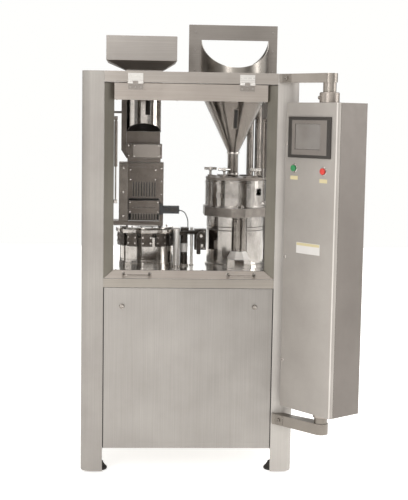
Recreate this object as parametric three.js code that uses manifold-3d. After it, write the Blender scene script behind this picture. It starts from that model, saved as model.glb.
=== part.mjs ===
// Automatic capsule filling machine, in millimetres.
// Machine frame while building: X to the right, Y into the depth from the front face, Z up from the floor.
// The exported group is then moved so that its origin is the bottom centre of the whole machine.
import * as THREE from 'three';
import { mergeVertices } from 'three/addons/utils/BufferGeometryUtils.js';
import { ConvexGeometry } from 'three/addons/geometries/ConvexGeometry.js';
import Module from 'manifold-3d';

const wasm = await Module();
wasm.setup();

// ---- Driving dimensions ----
const GAP = 0.3;

const FRAME_WIDTH = 930;
const FRAME_DEPTH = 830;
const FRAME_TOP = 1747;
const HALF = FRAME_WIDTH / 2;
const POST_WIDTH = 96;
const POST_RADIUS = 50;
const POST_WALL = 4;
const POST_BOTTOM = 8;
const BAY = HALF - POST_WIDTH - 0.4;

const SKIRT_BOTTOM = 112;
const RAIL_BOTTOM = 823;
const RAIL_TOP = 861;
const TABLE_TOP = 866;
const ON_TABLE = TABLE_TOP + GAP;
const BEAM_BOTTOM = 1700.3;
const BEAM_DEPTH = 40;

const FOOT_INSET_X = 76;
const FOOT_INSET_Y = 75;

const HATCH_BOTTOM = 862;
const HATCH_TOP = 1697;
const HATCH_HALF = BAY - 0.2;
const HATCH_RAIL = 34;
const HATCH_HEADER = 71;
const HATCH_STILE = 41;
const HATCH_BACK = 30;
const HATCH_BEVEL = 24;
const HINGE_AXIS_Y = -6;
const HINGE_AXIS_Z = 1698.5;
const HINGE_CENTRE_X = 237.5;
const HINGE_WIDTH = 64;
const HANDLE_CENTRE_X = 226;

const LOCK_X = 288;
const LOCK_Z = 741;

const STRUT_X = 320;
const STRUT_Y = 56;
const STRUT_TOP_Z = 1548;
const STRUT_BOTTOM_Z = 1190;
const STRUT_RADIUS = 7;

const WINDOW_INSET = 2;
const WINDOW_DEPTH = 22;

const SWIVEL = { x: 563, y: -170 };
const CABINET = { width: 304, depth: 175, bottom: 315, top: 1625, turn: -53.7 };
const AXIS_FROM_RIGHT = 100;
const AXIS_FROM_FRONT = 50;
const DOOR_THICKNESS = 18;

// In the cabinet's own group the swivel axis is the origin, X runs along the front and Y into the box.
const CAB_RIGHT = AXIS_FROM_RIGHT;
const CAB_LEFT = AXIS_FROM_RIGHT - CABINET.width;
const CAB_FRONT = -AXIS_FROM_FRONT;
const CAB_REAR = CABINET.depth - AXIS_FROM_FRONT;
const SCREEN = { left: -184, right: 67, bottom: 1395, top: 1566 };
const SCREEN_RECESS = { left: -141, right: 6, bottom: 1431, top: 1536 };
const START_BUTTON = { x: -147, z: 1350, tone: 0x2f7a4a };
const STOP_BUTTON = { x: 27, z: 1343, tone: 0xb03a30 };

const FEED = { x: -200, y: 430, radius: 79, wall: 4, bottom: 1487, top: 1740.5 };
const MAGAZINE = { left: -312, right: -107, front: 400, rear: 505, bottom: 1055, top: 1347 };
const LANES = 9;
const LANE_PITCH = 12.4;
const LANE_CENTRE = -196;
const CABLE_START = [-32, 388, 1128];
const TURRET = { x: -182, y: 476, radius: 144, bottom: 1018, top: 1041 };
const TURRET_DRUM_RADIUS = 125;
const TURRET_POST = 34;
const SEGMENTS = 12;
const SEGMENT = { halfWidth: 26, face: 136, bottom: 962 };

const DOSING = { x: 238, y: 533 };
const DRUM_RADIUS = 136;
const PLATFORM_BOTTOM = 1100.3;
const PLATFORM_TOP = 1142;
const COLUMN = { x: 244, y: 378, radius: 33.5 };
const COLUMN_FOOT = 57;
const BOWL_RADIUS = 145;
const BOWL_TOP = 1267;
const HEAD_BOTTOM = BOWL_TOP + 1.3;
const HEAD_TOP = 1281;
const KNOB_ORBIT = 122;
const KNOB_BAR_RISE = 38;
const KNOBS = [
  { name: 'clamp_knob_left', angle: 184, turn: 8 },
  { name: 'clamp_knob_front', angle: 239, turn: -12 },
  { name: 'clamp_knob_right', angle: 313, turn: 20 },
];

const HOPPER = { x: 222, y: 533, radius: 159, coneBottom: 1396, coneTop: 1672, rimLow: 1786, rimHigh: 1917 };
const NECK_RADIUS = 25;
const SHIELD_TOP = 1987;

const SHAFT_Y = 300;
const SHAFT_Z = 520;

// ---- Solids: three.js geometry in, boolean operations by manifold ----
function signedVolume(positions, triangles) {
  let volume = 0;
  const a = new THREE.Vector3();
  const b = new THREE.Vector3();
  const c = new THREE.Vector3();
  for (let i = 0; i < triangles.length; i += 3) {
    a.fromArray(positions, triangles[i] * 3);
    b.fromArray(positions, triangles[i + 1] * 3);
    c.fromArray(positions, triangles[i + 2] * 3);
    volume += a.dot(b.cross(c)) / 6;
  }
  return volume;
}

function solid(geometry) {
  const bare = geometry.clone();
  bare.deleteAttribute('normal');
  bare.deleteAttribute('uv');
  const merged = mergeVertices(bare, 1e-4);
  const index = merged.index.array;
  const triangles = [];
  for (let i = 0; i < index.length; i += 3) {
    const [a, b, c] = [index[i], index[i + 1], index[i + 2]];
    if (a !== b && b !== c && c !== a) triangles.push(a, b, c);
  }
  const positions = merged.attributes.position.array;
  if (signedVolume(positions, triangles) < 0) triangles.reverse();
  const mesh = new wasm.Mesh({
    numProp: 3,
    vertProperties: new Float32Array(positions),
    triVerts: new Uint32Array(triangles),
  });
  return new wasm.Manifold(mesh);
}

function join(...solids) {
  return solids.reduce((whole, piece) => whole.add(piece));
}

function cut(body, ...tools) {
  return tools.reduce((rest, tool) => rest.subtract(tool), body);
}

function toGeometry(body) {
  const mesh = body.getMesh();
  const geometry = new THREE.BufferGeometry();
  geometry.setAttribute('position', new THREE.BufferAttribute(new Float32Array(mesh.vertProperties), 3));
  geometry.setIndex(new THREE.BufferAttribute(new Uint32Array(mesh.triVerts), 1));
  geometry.computeVertexNormals();
  return geometry;
}

// A block between two limits on each axis.
function block([x0, x1], [y0, y1], [z0, z1]) {
  const geometry = new THREE.BoxGeometry(x1 - x0, y1 - y0, z1 - z0);
  return solid(geometry.translate((x0 + x1) / 2, (y0 + y1) / 2, (z0 + z1) / 2));
}

// An upright round bar.
function upright(radius, x, y, [z0, z1], sides = 16) {
  const geometry = new THREE.CylinderGeometry(radius, radius, z1 - z0, sides);
  return solid(geometry.rotateX(Math.PI / 2).translate(x, y, (z0 + z1) / 2));
}

// A round bar along X or along Y.
function barAlongX(radius, [x0, x1], y, z, sides = 12) {
  const geometry = new THREE.CylinderGeometry(radius, radius, x1 - x0, sides);
  return solid(geometry.rotateZ(Math.PI / 2).translate((x0 + x1) / 2, y, z));
}

function barAlongY(radius, x, [y0, y1], z, sides = 12) {
  const geometry = new THREE.CylinderGeometry(radius, radius, y1 - y0, sides);
  return solid(geometry.translate(x, (y0 + y1) / 2, z));
}

// A turned piece about an upright axis, from [radius, z] points.
function turned(points, x = 0, y = 0, sides = 24) {
  const profile = points.map(([radius, z]) => new THREE.Vector2(radius, z));
  const closed = points[0][0] === 0 && points[points.length - 1][0] === 0;
  if (!closed) profile.push(profile[0].clone());
  return solid(new THREE.LatheGeometry(profile, sides).rotateX(Math.PI / 2).translate(x, y, 0));
}

function outline(points) {
  return new THREE.Shape(points.map(([x, y]) => new THREE.Vector2(x, y)));
}

// A flat plan extruded upwards.
function plate(shape, [z0, z1], curveSegments = 8) {
  const options = { depth: z1 - z0, bevelEnabled: false, curveSegments };
  return solid(new THREE.ExtrudeGeometry(shape, options).translate(0, 0, z0));
}

// A profile given in the YZ plane, extruded along X.
function profileAlongX(points, [x0, x1]) {
  const geometry = new THREE.ExtrudeGeometry(outline(points), { depth: x1 - x0, bevelEnabled: false });
  geometry.rotateX(Math.PI / 2).rotateZ(Math.PI / 2);
  return solid(geometry.translate(x0, 0, 0));
}

// A straight-sided piece with flat ends, as the hull of its corners.
function hull(corners) {
  return solid(new ConvexGeometry(corners.map((corner) => new THREE.Vector3(...corner))));
}

// A round wire that follows a smooth curve.
function wire(points, radius, steps, sides = 8) {
  const curve = new THREE.CatmullRomCurve3(points.map((point) => new THREE.Vector3(...point)));
  const section = new THREE.Shape();
  for (let i = 0; i <= sides; i += 1) {
    const angle = (i / sides) * Math.PI * 2;
    const move = i === 0 ? 'moveTo' : 'lineTo';
    section[move](Math.cos(angle) * radius, Math.sin(angle) * radius);
  }
  return solid(new THREE.ExtrudeGeometry(section, { steps, extrudePath: curve, bevelEnabled: false }));
}

// ---- Materials ----
function brushedSteel(tone = 0xb6aca3) {
  return new THREE.MeshStandardMaterial({ color: tone, roughness: 0.42, metalness: 0.9 });
}

function polishedSteel() {
  return new THREE.MeshStandardMaterial({ color: 0xc9c4be, roughness: 0.14, metalness: 1 });
}

function castGrey() {
  return new THREE.MeshStandardMaterial({ color: 0x6e6a65, roughness: 0.6, metalness: 0.5 });
}

function clearPane() {
  const look = { color: 0xf4f6f6, roughness: 0.05, transparent: true, opacity: 0.2 };
  return new THREE.MeshStandardMaterial(look);
}

function plastic(tone) {
  return new THREE.MeshStandardMaterial({ color: tone, roughness: 0.45, metalness: 0 });
}

const machine = new THREE.Group();

function add(name, body, material, group = machine) {
  const mesh = new THREE.Mesh(toGeometry(body), material);
  mesh.name = name;
  group.add(mesh);
  return mesh;
}

// ---- Frame ----
// The channel opens towards the machine, with its rounded corner outside.
function postChannel() {
  const shape = new THREE.Shape();
  const inner = POST_RADIUS - POST_WALL;
  shape.moveTo(POST_WIDTH, 0);
  shape.lineTo(POST_WIDTH, POST_WALL);
  shape.lineTo(POST_RADIUS, POST_WALL);
  shape.absarc(POST_RADIUS, POST_RADIUS, inner, -Math.PI / 2, -Math.PI, true);
  shape.lineTo(POST_WALL, POST_WIDTH);
  shape.lineTo(0, POST_WIDTH);
  shape.lineTo(0, POST_RADIUS);
  shape.absarc(POST_RADIUS, POST_RADIUS, POST_RADIUS, -Math.PI, -Math.PI / 2, false);
  return plate(shape, [POST_BOTTOM, FRAME_TOP], 7);
}

// The sheet that closes the top of a post.
function postCap() {
  const shape = new THREE.Shape();
  shape.moveTo(POST_WIDTH, 0);
  shape.lineTo(POST_WIDTH, POST_WIDTH);
  shape.lineTo(0, POST_WIDTH);
  shape.lineTo(0, POST_RADIUS);
  shape.absarc(POST_RADIUS, POST_RADIUS, POST_RADIUS, -Math.PI, -Math.PI / 2, false);
  return plate(shape, [FRAME_TOP - POST_WALL, FRAME_TOP], 7);
}

// The lug inside a front post that carries the foot of a gas strut.
function strutLug(side) {
  const edge = HALF - POST_WIDTH;
  const z = [STRUT_BOTTOM_Z - 9, STRUT_BOTTOM_Z + 9];
  const [wallX, reachX] = [side * (edge + 11), side * (STRUT_X + 7.3)];
  const nearX = side * (edge + 1);
  const upstand = block([Math.min(wallX, nearX), Math.max(wallX, nearX)], [POST_WALL - 1, STRUT_Y + 8], z);
  const reach = block([Math.min(wallX, reachX), Math.max(wallX, reachX)], [STRUT_Y - 8, STRUT_Y + 8], z);
  return join(upstand, reach);
}

function buildPosts() {
  const corners = [
    ['corner_post_front_left', -HALF, 0, 0, -1],
    ['corner_post_front_right', HALF, 0, 90, 1],
    ['corner_post_rear_right', HALF, FRAME_DEPTH, 180, 0],
    ['corner_post_rear_left', -HALF, FRAME_DEPTH, -90, 0],
  ];
  for (const [name, x, y, turn, lugSide] of corners) {
    const channel = join(postChannel(), postCap()).rotate([0, 0, turn]).translate([x, y, 0]);
    const body = lugSide === 0 ? channel : join(channel, strutLug(lugSide));
    add(name, body, brushedSteel());
  }
}

function buildFeet() {
  const profile = [[0, 0], [40, 0], [40, 10], [24, 30], [22, 36], [9, 36], [9, SKIRT_BOTTOM - GAP],
    [0, SKIRT_BOTTOM - GAP]];
  for (const [row, y] of [['front', FOOT_INSET_Y], ['rear', FRAME_DEPTH - FOOT_INSET_Y]]) {
    for (const [side, sign] of [['left', -1], ['right', 1]]) {
      const foot = turned(profile, sign * (HALF - FOOT_INSET_X), y, 16);
      add(`levelling_foot_${row}_${side}`, foot, plastic(0x26241f));
    }
  }
}

// The plan between the four posts, from a front edge to the rear face.
function bayPlan(frontEdge) {
  const [near, far] = [POST_WIDTH + 0.4, FRAME_DEPTH - POST_WIDTH - 0.4];
  return outline([
    [-BAY, frontEdge], [BAY, frontEdge], [BAY, near], [HALF, near], [HALF, far], [BAY, far],
    [BAY, FRAME_DEPTH], [-BAY, FRAME_DEPTH], [-BAY, far], [-HALF, far], [-HALF, near], [-BAY, near],
  ]);
}

function bayRing([z0, z1], depth) {
  const [near, far] = [POST_WIDTH + 0.4, FRAME_DEPTH - POST_WIDTH - 0.4];
  return [
    block([-BAY, BAY], [0, depth], [z0, z1]),
    block([-BAY, BAY], [FRAME_DEPTH - depth, FRAME_DEPTH], [z0, z1]),
    block([-HALF, -HALF + depth], [near, far], [z0, z1]),
    block([HALF - depth, HALF], [near, far], [z0, z1]),
  ];
}

function buildBaseTray() {
  const [outerX, innerX] = [440, 408];
  const [front, rear] = [26, FRAME_DEPTH - 26];
  const walls = cut(
    block([-outerX, outerX], [front, rear], [SKIRT_BOTTOM, 152]),
    block([-innerX, innerX], [front + 32, rear - 32], [SKIRT_BOTTOM - 1, 153]),
  );
  const floor = block([-outerX, outerX], [front, rear], [SKIRT_BOTTOM, SKIRT_BOTTOM + 6]);
  add('base_tray', join(walls, floor), brushedSteel());
}

function buildWorkTable() {
  const rims = bayRing([RAIL_BOTTOM, RAIL_TOP], 45);
  const top = plate(bayPlan(HATCH_BACK + 6), [RAIL_TOP - 5, TABLE_TOP]);
  add('work_table', join(top, ...rims), brushedSteel());
}

function buildTopFrame() {
  const beams = bayRing([BEAM_BOTTOM, FRAME_TOP], BEAM_DEPTH);
  const roof = plate(bayPlan(0), [FRAME_TOP - 6, FRAME_TOP]);
  const feedHole = block([FEED.x - 86, FEED.x + 86], [FEED.y - 86, FEED.y + 86], [1690, 1760]);
  const hopperHole = upright(HOPPER.radius + 5, HOPPER.x, HOPPER.y, [1690, 1760], 32);
  add('top_frame', cut(join(roof, ...beams), feedHole, hopperHole), brushedSteel());
}

// A folded sheet tray whose open side faces the inside of the machine.
function foldedPanel(halfWidth, depth, z) {
  const outer = block([-halfWidth, halfWidth], [0, depth], z);
  const inner = block([-halfWidth + 2, halfWidth - 2], [2, depth + 1], [z[0] + 2, z[1] - 2]);
  return cut(outer, inner);
}

function buildLowerPanels() {
  const z = [SKIRT_BOTTOM, RAIL_BOTTOM - 0.5];
  const lockHoles = [-1, 1].map((side) => barAlongY(6.2, side * LOCK_X, [-5, 10], LOCK_Z));
  const front = cut(foldedPanel(BAY - 1.2, 18, z).translate([0, 2, 0]), ...lockHoles);
  add('front_panel', front, brushedSteel());
  const sideHalf = FRAME_DEPTH / 2 - POST_WIDTH - 2;
  const side = foldedPanel(sideHalf, 18, z);
  const middle = FRAME_DEPTH / 2;
  add('left_panel', side.rotate([0, 0, -90]).translate([-HALF + 2, middle, 0]), brushedSteel());
  add('right_panel', side.rotate([0, 0, 90]).translate([HALF - 2, middle, 0]), brushedSteel());
  const vents = [];
  for (let row = 0; row < 8; row += 1) {
    for (const x of [-150, 150]) {
      vents.push(block([x - 70, x + 70], [-5, 10], [240 + row * 26, 248 + row * 26]));
    }
  }
  const rear = cut(foldedPanel(BAY - 1.2, 18, z), ...vents);
  add('rear_panel', rear.rotate([0, 0, 180]).translate([0, FRAME_DEPTH - 2, 0]), brushedSteel());
}

// Quarter-turn locks of the front panel: a slotted head, a shaft and a cam behind the sheet.
function buildLocks() {
  for (const [name, sign] of [['panel_lock_left', -1], ['panel_lock_right', 1]]) {
    const x = sign * LOCK_X;
    const head = cut(
      barAlongY(11, x, [-5, 1.7], LOCK_Z, 20),
      block([x - 8, x + 8], [-6, -3], [LOCK_Z - 1.2, LOCK_Z + 1.2]),
    );
    const shaft = barAlongY(5.5, x, [1, 14], LOCK_Z);
    const cam = block([x - 7, x + 7], [9, 12], [LOCK_Z - 7, LOCK_Z + 34]);
    add(name, join(head, shaft, cam), polishedSteel());
  }
}

// ---- Front hatch ----
// The stiles and the bottom rail slope inwards to the pane and are mitred together; the header is flat.
function stile(side) {
  const outer = side * HATCH_HALF;
  const inner = side * (HATCH_HALF - HATCH_STILE);
  const innerBottom = HATCH_BOTTOM + HATCH_RAIL;
  return hull([
    [outer, 0, HATCH_BOTTOM], [outer, HATCH_BACK, HATCH_BOTTOM],
    [inner, HATCH_BEVEL, innerBottom], [inner, HATCH_BACK, innerBottom],
    [outer, 0, HATCH_TOP], [outer, HATCH_BACK, HATCH_TOP],
    [inner, HATCH_BEVEL, HATCH_TOP], [inner, HATCH_BACK, HATCH_TOP],
  ]);
}

function bottomRail() {
  const inner = HATCH_HALF - HATCH_STILE;
  const top = HATCH_BOTTOM + HATCH_RAIL;
  const corners = [];
  for (const side of [-1, 1]) {
    corners.push([side * HATCH_HALF, 0, HATCH_BOTTOM], [side * HATCH_HALF, HATCH_BACK, HATCH_BOTTOM]);
    corners.push([side * inner, HATCH_BEVEL, top], [side * inner, HATCH_BACK, top]);
  }
  return hull(corners);
}

function movingLeaf(side) {
  const [x0, x1] = [side * HINGE_CENTRE_X - HINGE_WIDTH / 2, side * HINGE_CENTRE_X + HINGE_WIDTH / 2];
  const leaf = block([x0, x1], [-3, 3], [HINGE_AXIS_Z - 30, HINGE_AXIS_Z - 6.5]);
  const third = HINGE_WIDTH / 6 - 0.5;
  const knuckleX = [side * HINGE_CENTRE_X - third, side * HINGE_CENTRE_X + third];
  const knuckle = barAlongX(5.5, knuckleX, HINGE_AXIS_Y, HINGE_AXIS_Z);
  const web = block(knuckleX, [HINGE_AXIS_Y - 1.5, 0], [HINGE_AXIS_Z - 8, HINGE_AXIS_Z - 3]);
  return cut(join(leaf, knuckle, web), barAlongX(3, [x0 - 1, x1 + 1], HINGE_AXIS_Y, HINGE_AXIS_Z));
}

// The bracket and ball on the back of a stile that takes the top of a gas strut.
function hatchLug(side) {
  const [nearX, farX] = [side * (HATCH_HALF - 10), side * (STRUT_X + 7.3)];
  const paneX = side * (HATCH_HALF - 33);
  const z = [STRUT_TOP_Z - 9, STRUT_TOP_Z + 9];
  const foot = block([Math.min(nearX, paneX), Math.max(nearX, paneX)], [HATCH_BACK - 1, STRUT_Y + 6], z);
  const arm = block([Math.min(nearX, farX), Math.max(nearX, farX)], [STRUT_Y - 6, STRUT_Y + 6], z);
  return join(foot, arm);
}

function buildHatch() {
  const inner = HATCH_HALF - HATCH_STILE;
  const header = block([-inner - 2, inner + 2], [2, HATCH_BACK], [HATCH_TOP - HATCH_HEADER, HATCH_TOP]);
  const rails = join(stile(-1), stile(1), bottomRail(), header);
  add('hatch_frame', join(rails, movingLeaf(-1), movingLeaf(1), hatchLug(-1), hatchLug(1)), brushedSteel());
  const paneHalf = HATCH_HALF - 35;
  const paneZ = [HATCH_BOTTOM + 26, HATCH_TOP - HATCH_HEADER + 8];
  add('hatch_pane', block([-paneHalf, paneHalf], [HATCH_BACK + 0.4, HATCH_BACK + 4.4], paneZ), clearPane());
}

function buildHinges() {
  for (const [name, side] of [['hatch_hinge_left', -1], ['hatch_hinge_right', 1]]) {
    const centre = side * HINGE_CENTRE_X;
    const [x0, x1] = [centre - HINGE_WIDTH / 2, centre + HINGE_WIDTH / 2];
    const third = HINGE_WIDTH / 6;
    const leaf = block([x0, x1], [-3.2, -GAP], [HINGE_AXIS_Z + 6.5, FRAME_TOP - 8]);
    const knuckles = [[x0, centre - third], [centre + third, x1]].map((span) => join(
      barAlongX(5.5, span, HINGE_AXIS_Y, HINGE_AXIS_Z),
      block(span, [HINGE_AXIS_Y - 1, -GAP], [HINGE_AXIS_Z + 2, HINGE_AXIS_Z + 8]),
    ));
    const pin = barAlongX(2.6, [x0 - 2, x1 + 2], HINGE_AXIS_Y, HINGE_AXIS_Z, 12);
    add(name, join(leaf, ...knuckles, pin), polishedSteel());
  }
}

function buildHandles() {
  const [halfBar, halfFoot] = [50, 58];
  for (const [name, side] of [['hatch_handle_left', -1], ['hatch_handle_right', 1]]) {
    const x = side * HANDLE_CENTRE_X;
    const half = [
      [halfFoot, 11.5, 884], [halfFoot - 1, 0, 883], [halfBar + 2, -20, 880], [halfBar - 8, -25, 879],
    ];
    const leftHalf = half.map(([dx, y, z]) => [x - dx, y, z]);
    const rightHalf = half.map(([dx, y, z]) => [x + dx, y, z]).reverse();
    const path = [...leftHalf, [x, -25, 879], ...rightHalf];
    add(name, wire(path, 4, 20, 6), polishedSteel());
  }
}

// Each strut hangs from the hatch's lug; the rod's lower eye sits beside the post's lug.
function buildStruts() {
  for (const [side, sign] of [['left', -1], ['right', 1]]) {
    const x = sign * STRUT_X;
    const tube = turned([
      [0, 1541], [5, 1541], [5, 1537], [STRUT_RADIUS, 1534], [STRUT_RADIUS, 1344], [STRUT_RADIUS - 1, 1340],
      [3.8, 1340], [3.8, 1500], [0, 1500],
    ], x, STRUT_Y, 14);
    const topEye = barAlongX(8, [x - 7, x + 7], STRUT_Y, STRUT_TOP_Z);
    add(`gas_strut_cylinder_${side}`, join(tube, topEye), castGrey());
    const rod = upright(3.3, x, STRUT_Y, [STRUT_BOTTOM_Z, 1492], 10);
    const eye = barAlongX(8, [x - 7, x + 7], STRUT_Y, STRUT_BOTTOM_Z);
    add(`gas_strut_rod_${side}`, join(rod, eye), polishedSteel());
  }
}

// ---- Side and rear windows ----
function windowPane(halfWidth, rail, depth) {
  const z = [TABLE_TOP + 0.5, BEAM_BOTTOM - 0.5];
  const frame = cut(
    block([-halfWidth, halfWidth], [0, depth], z),
    block([-halfWidth + rail, halfWidth - rail], [-1, depth + 1], [z[0] + rail, z[1] - rail]),
  );
  const paneZ = [z[0] + rail - 5, z[1] - rail + 5];
  return join(frame, block([-halfWidth + rail - 5, halfWidth - rail + 5], [8, 13], paneZ));
}

function buildWindows() {
  const side = windowPane(FRAME_DEPTH / 2 - POST_WIDTH - 2, 40, WINDOW_DEPTH);
  const middle = FRAME_DEPTH / 2;
  add('left_window', side.rotate([0, 0, -90]).translate([-HALF + WINDOW_INSET, middle, 0]), clearPane());
  add('right_window', side.rotate([0, 0, 90]).translate([HALF - WINDOW_INSET, middle, 0]), clearPane());
  const rear = windowPane(BAY - 1, 18, 20);
  add('rear_window', rear.rotate([0, 0, 180]).translate([0, FRAME_DEPTH - 2, 0]), clearPane());
}

// ---- Swing arms and control cabinet ----
// A flat bar from the bolting plate on the post's face to the swivel axis, with a round end.
function armPlan() {
  const shape = new THREE.Shape();
  const start = new THREE.Vector2(HALF - POST_WIDTH + 4, -GAP);
  const along = Math.atan2(SWIVEL.y + 20, SWIVEL.x - 400);
  shape.moveTo(start.x, start.y);
  shape.lineTo(start.x, -12);
  shape.lineTo(385, -20);
  shape.lineTo(SWIVEL.x + 32 * Math.cos(along - Math.PI / 2), SWIVEL.y + 32 * Math.sin(along - Math.PI / 2));
  shape.absarc(SWIVEL.x, SWIVEL.y, 32, along - Math.PI / 2, along + Math.PI / 2, false);
  shape.lineTo(452, -28);
  shape.lineTo(430, -GAP);
  shape.closePath();
  return shape;
}

function buildArms() {
  const bolt = (z) => barAlongY(9, HALF - POST_WIDTH + 22, [-16, -10], z, 6);
  const upperArm = plate(armPlan(), [1708, 1746], 8);
  const spigot = upright(27.5, SWIVEL.x, SWIVEL.y, [1668, 1709], 20);
  const pin = upright(14, SWIVEL.x, SWIVEL.y, [1640, 1669], 16);
  add('swing_arm_upper', join(upperArm, spigot, pin, bolt(1727)), brushedSteel());
  const lowerArm = plate(armPlan(), [226, 273], 8);
  const pillar = upright(28, SWIVEL.x, SWIVEL.y, [272, 298], 20);
  const lowerPin = upright(14, SWIVEL.x, SWIVEL.y, [297, 308], 16);
  add('swing_arm_lower', join(lowerArm, pillar, lowerPin, bolt(250)), brushedSteel());
}

function cabinetShell() {
  const front = CAB_FRONT + DOOR_THICKNESS + 1;
  const outer = block([CAB_LEFT, CAB_RIGHT], [front, CAB_REAR], [CABINET.bottom, CABINET.top]);
  const inner = block([CAB_LEFT + 3, CAB_RIGHT - 3], [front - 1, CAB_REAR - 3],
    [CABINET.bottom + 3, CABINET.top - 3]);
  const lip = cut(
    block([CAB_LEFT, CAB_RIGHT], [front, front + 2], [CABINET.bottom, CABINET.top]),
    block([CAB_LEFT + 20, CAB_RIGHT - 20], [front - 1, front + 3], [CABINET.bottom + 20, CABINET.top - 20]),
  );
  const collar = turned([[14.5, 1624], [41.5, 1624], [41.5, 1664], [38, 1667.6], [14.5, 1667.6]], 0, 0, 24);
  const knobStem = barAlongX(4, [-52, -38], 0, 1646, 12);
  const knob = barAlongX(8, [-62, -50], 0, 1646, 16);
  const seat = CABINET.bottom + 2;
  const lowerCollar = turned([[14.5, 299], [34, 299], [34, seat], [14.5, seat]], 0, 0, 20);
  const doorSpace = block([-60, 60], [CAB_FRONT - 5, CAB_FRONT + DOOR_THICKNESS + 1],
    [CABINET.bottom - GAP, CABINET.top + GAP]);
  const bearings = cut(join(collar, knobStem, knob, lowerCollar), doorSpace);
  const bores = [upright(14.6, 0, 0, [1620, 1680], 20), upright(14.6, 0, 0, [290, CABINET.bottom + 10], 20)];
  return cut(join(cut(outer, inner), lip, bearings), ...bores);
}

function cabinetDoor() {
  const rear = CAB_FRONT + DOOR_THICKNESS;
  const outer = block([CAB_LEFT, CAB_RIGHT], [CAB_FRONT, rear], [CABINET.bottom, CABINET.top]);
  const inner = block([CAB_LEFT + 2, CAB_RIGHT - 2], [CAB_FRONT + 2, rear + 1],
    [CABINET.bottom + 2, CABINET.top - 2]);
  const skin = [CAB_FRONT - 1, CAB_FRONT + 5];
  const holes = [
    block([SCREEN.left + 12, SCREEN.right - 12], skin, [SCREEN.bottom + 12, SCREEN.top - 12]),
    barAlongY(11.5, START_BUTTON.x, skin, START_BUTTON.z, 16),
    barAlongY(11.5, STOP_BUTTON.x, skin, STOP_BUTTON.z, 16),
  ];
  return cut(cut(outer, inner), ...holes);
}

function touchScreen() {
  const bezel = block([SCREEN.left, SCREEN.right], [CAB_FRONT - 6, CAB_FRONT - GAP],
    [SCREEN.bottom, SCREEN.top]);
  const { left, right, bottom, top } = SCREEN_RECESS;
  const recess = block([left, right], [CAB_FRONT - 7, CAB_FRONT - 4], [bottom, top]);
  const body = block([SCREEN.left + 14, SCREEN.right - 14], [CAB_FRONT - 2, CAB_FRONT + 40],
    [SCREEN.bottom + 14, SCREEN.top - 14]);
  return join(cut(bezel, recess), body);
}

function pushButton(button) {
  const cap = barAlongY(14, button.x, [CAB_FRONT - 12, CAB_FRONT - 4], button.z, 16);
  const stem = barAlongY(10.5, button.x, [CAB_FRONT - 5, CAB_FRONT + 24], button.z, 14);
  return join(cap, stem);
}

function buildCabinet() {
  const cabinet = new THREE.Group();
  cabinet.position.set(SWIVEL.x, SWIVEL.y, 0);
  cabinet.rotation.z = THREE.MathUtils.degToRad(CABINET.turn);
  machine.add(cabinet);
  add('control_cabinet', cabinetShell(), brushedSteel(0xa39a92), cabinet);
  add('cabinet_door', cabinetDoor(), brushedSteel(0xb3aca6), cabinet);
  add('touch_screen', touchScreen(), plastic(0x35302a), cabinet);
  add('start_button', pushButton(START_BUTTON), plastic(START_BUTTON.tone), cabinet);
  add('stop_button', pushButton(STOP_BUTTON), plastic(STOP_BUTTON.tone), cabinet);
}

// ---- Capsule station ----
// The hopper's underside narrows from the bin to the square collar over the feed tube.
function slantedFunnel(bin, halfX, halfY, knee, collar, mouth) {
  const corners = [];
  for (const sx of [-1, 1]) {
    for (const sy of [-1, 1]) {
      corners.push([bin.x + sx * halfX, bin.y + sy * halfY, knee]);
      corners.push([FEED.x + sx * collar, FEED.y + sy * collar, mouth]);
    }
  }
  return hull(corners);
}

function buildCapsuleHopper() {
  const [halfX, halfY, wall, collar] = [158, 150, 3, 83];
  const [rim, knee, mouth, end] = [1914, 1805, 1766, 1741.5];
  const bin = { x: FEED.x - 13, y: FEED.y };
  const around = (place, reachX, reachY, z) => (
    block([place.x - reachX, place.x + reachX], [place.y - reachY, place.y + reachY], z)
  );
  const outer = join(
    around(bin, halfX, halfY, [knee, rim]),
    slantedFunnel(bin, halfX, halfY, knee, collar, mouth),
    around(FEED, collar, collar, [end, mouth + 1]),
  );
  const inner = join(
    around(bin, halfX - wall, halfY - wall, [knee, rim + 1]),
    slantedFunnel(bin, halfX - wall, halfY - wall, knee + 1, collar - wall, mouth + 1),
    around(FEED, collar - wall, collar - wall, [end - 1, mouth + 2]),
  );
  add('capsule_hopper', cut(outer, inner), brushedSteel());
}

// The tube has an arched mouth low at its front and a sight slot higher up.
function feedTubeShell() {
  const { x, y, radius, wall, bottom, top } = FEED;
  const inner = radius - wall;
  const tube = turned([[inner, bottom], [radius, bottom], [radius, top], [inner, top]], x, y, 32);
  const front = y - radius - 5;
  const arch = profileAlongX([[y, bottom], [front, bottom + 42.5], [front, bottom - 5], [y, bottom - 5]],
    [x - radius - 5, x + radius + 5]);
  const sightSlot = block([x + 6, x + 27], [front, y], [1564, 1672]);
  return cut(tube, arch, sightSlot);
}

// The plate on the left that carries the tube, with its lower outer corner cut away.
function feedTubeBracket() {
  const { x, y } = FEED;
  const corners = [];
  for (const depth of [y - 40, y + 70]) {
    corners.push([x - 103, depth, 1700], [x - 79, depth, 1700]);
    corners.push([x - 103, depth, 1404], [x - 79, depth, 1366]);
  }
  return hull(corners);
}

// Below the tube a neck widens to the chute box, which sits on the magazine.
function feedTubeChute() {
  const { x, y, radius, wall, bottom } = FEED;
  const neck = block([x - 80, x + 75], [y - 35, y + 80], [1431, bottom + 2]);
  const box = block([x - 80, x + 84], [y - 60, y + 80], [1366, 1432]);
  const tail = block([x - 74, x + 78], [y - 45, y + 78], [1349, 1367]);
  const [boreX, boreY] = [[x - 66, x + 66], [y - 31, y + 74]];
  const throatZ = [1475, bottom + 3];
  const throat = upright(radius - wall, x, y, throatZ, 32).intersect(block(boreX, boreY, throatZ));
  return cut(join(neck, box, tail), block(boreX, boreY, [1340, 1476]), throat);
}

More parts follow.
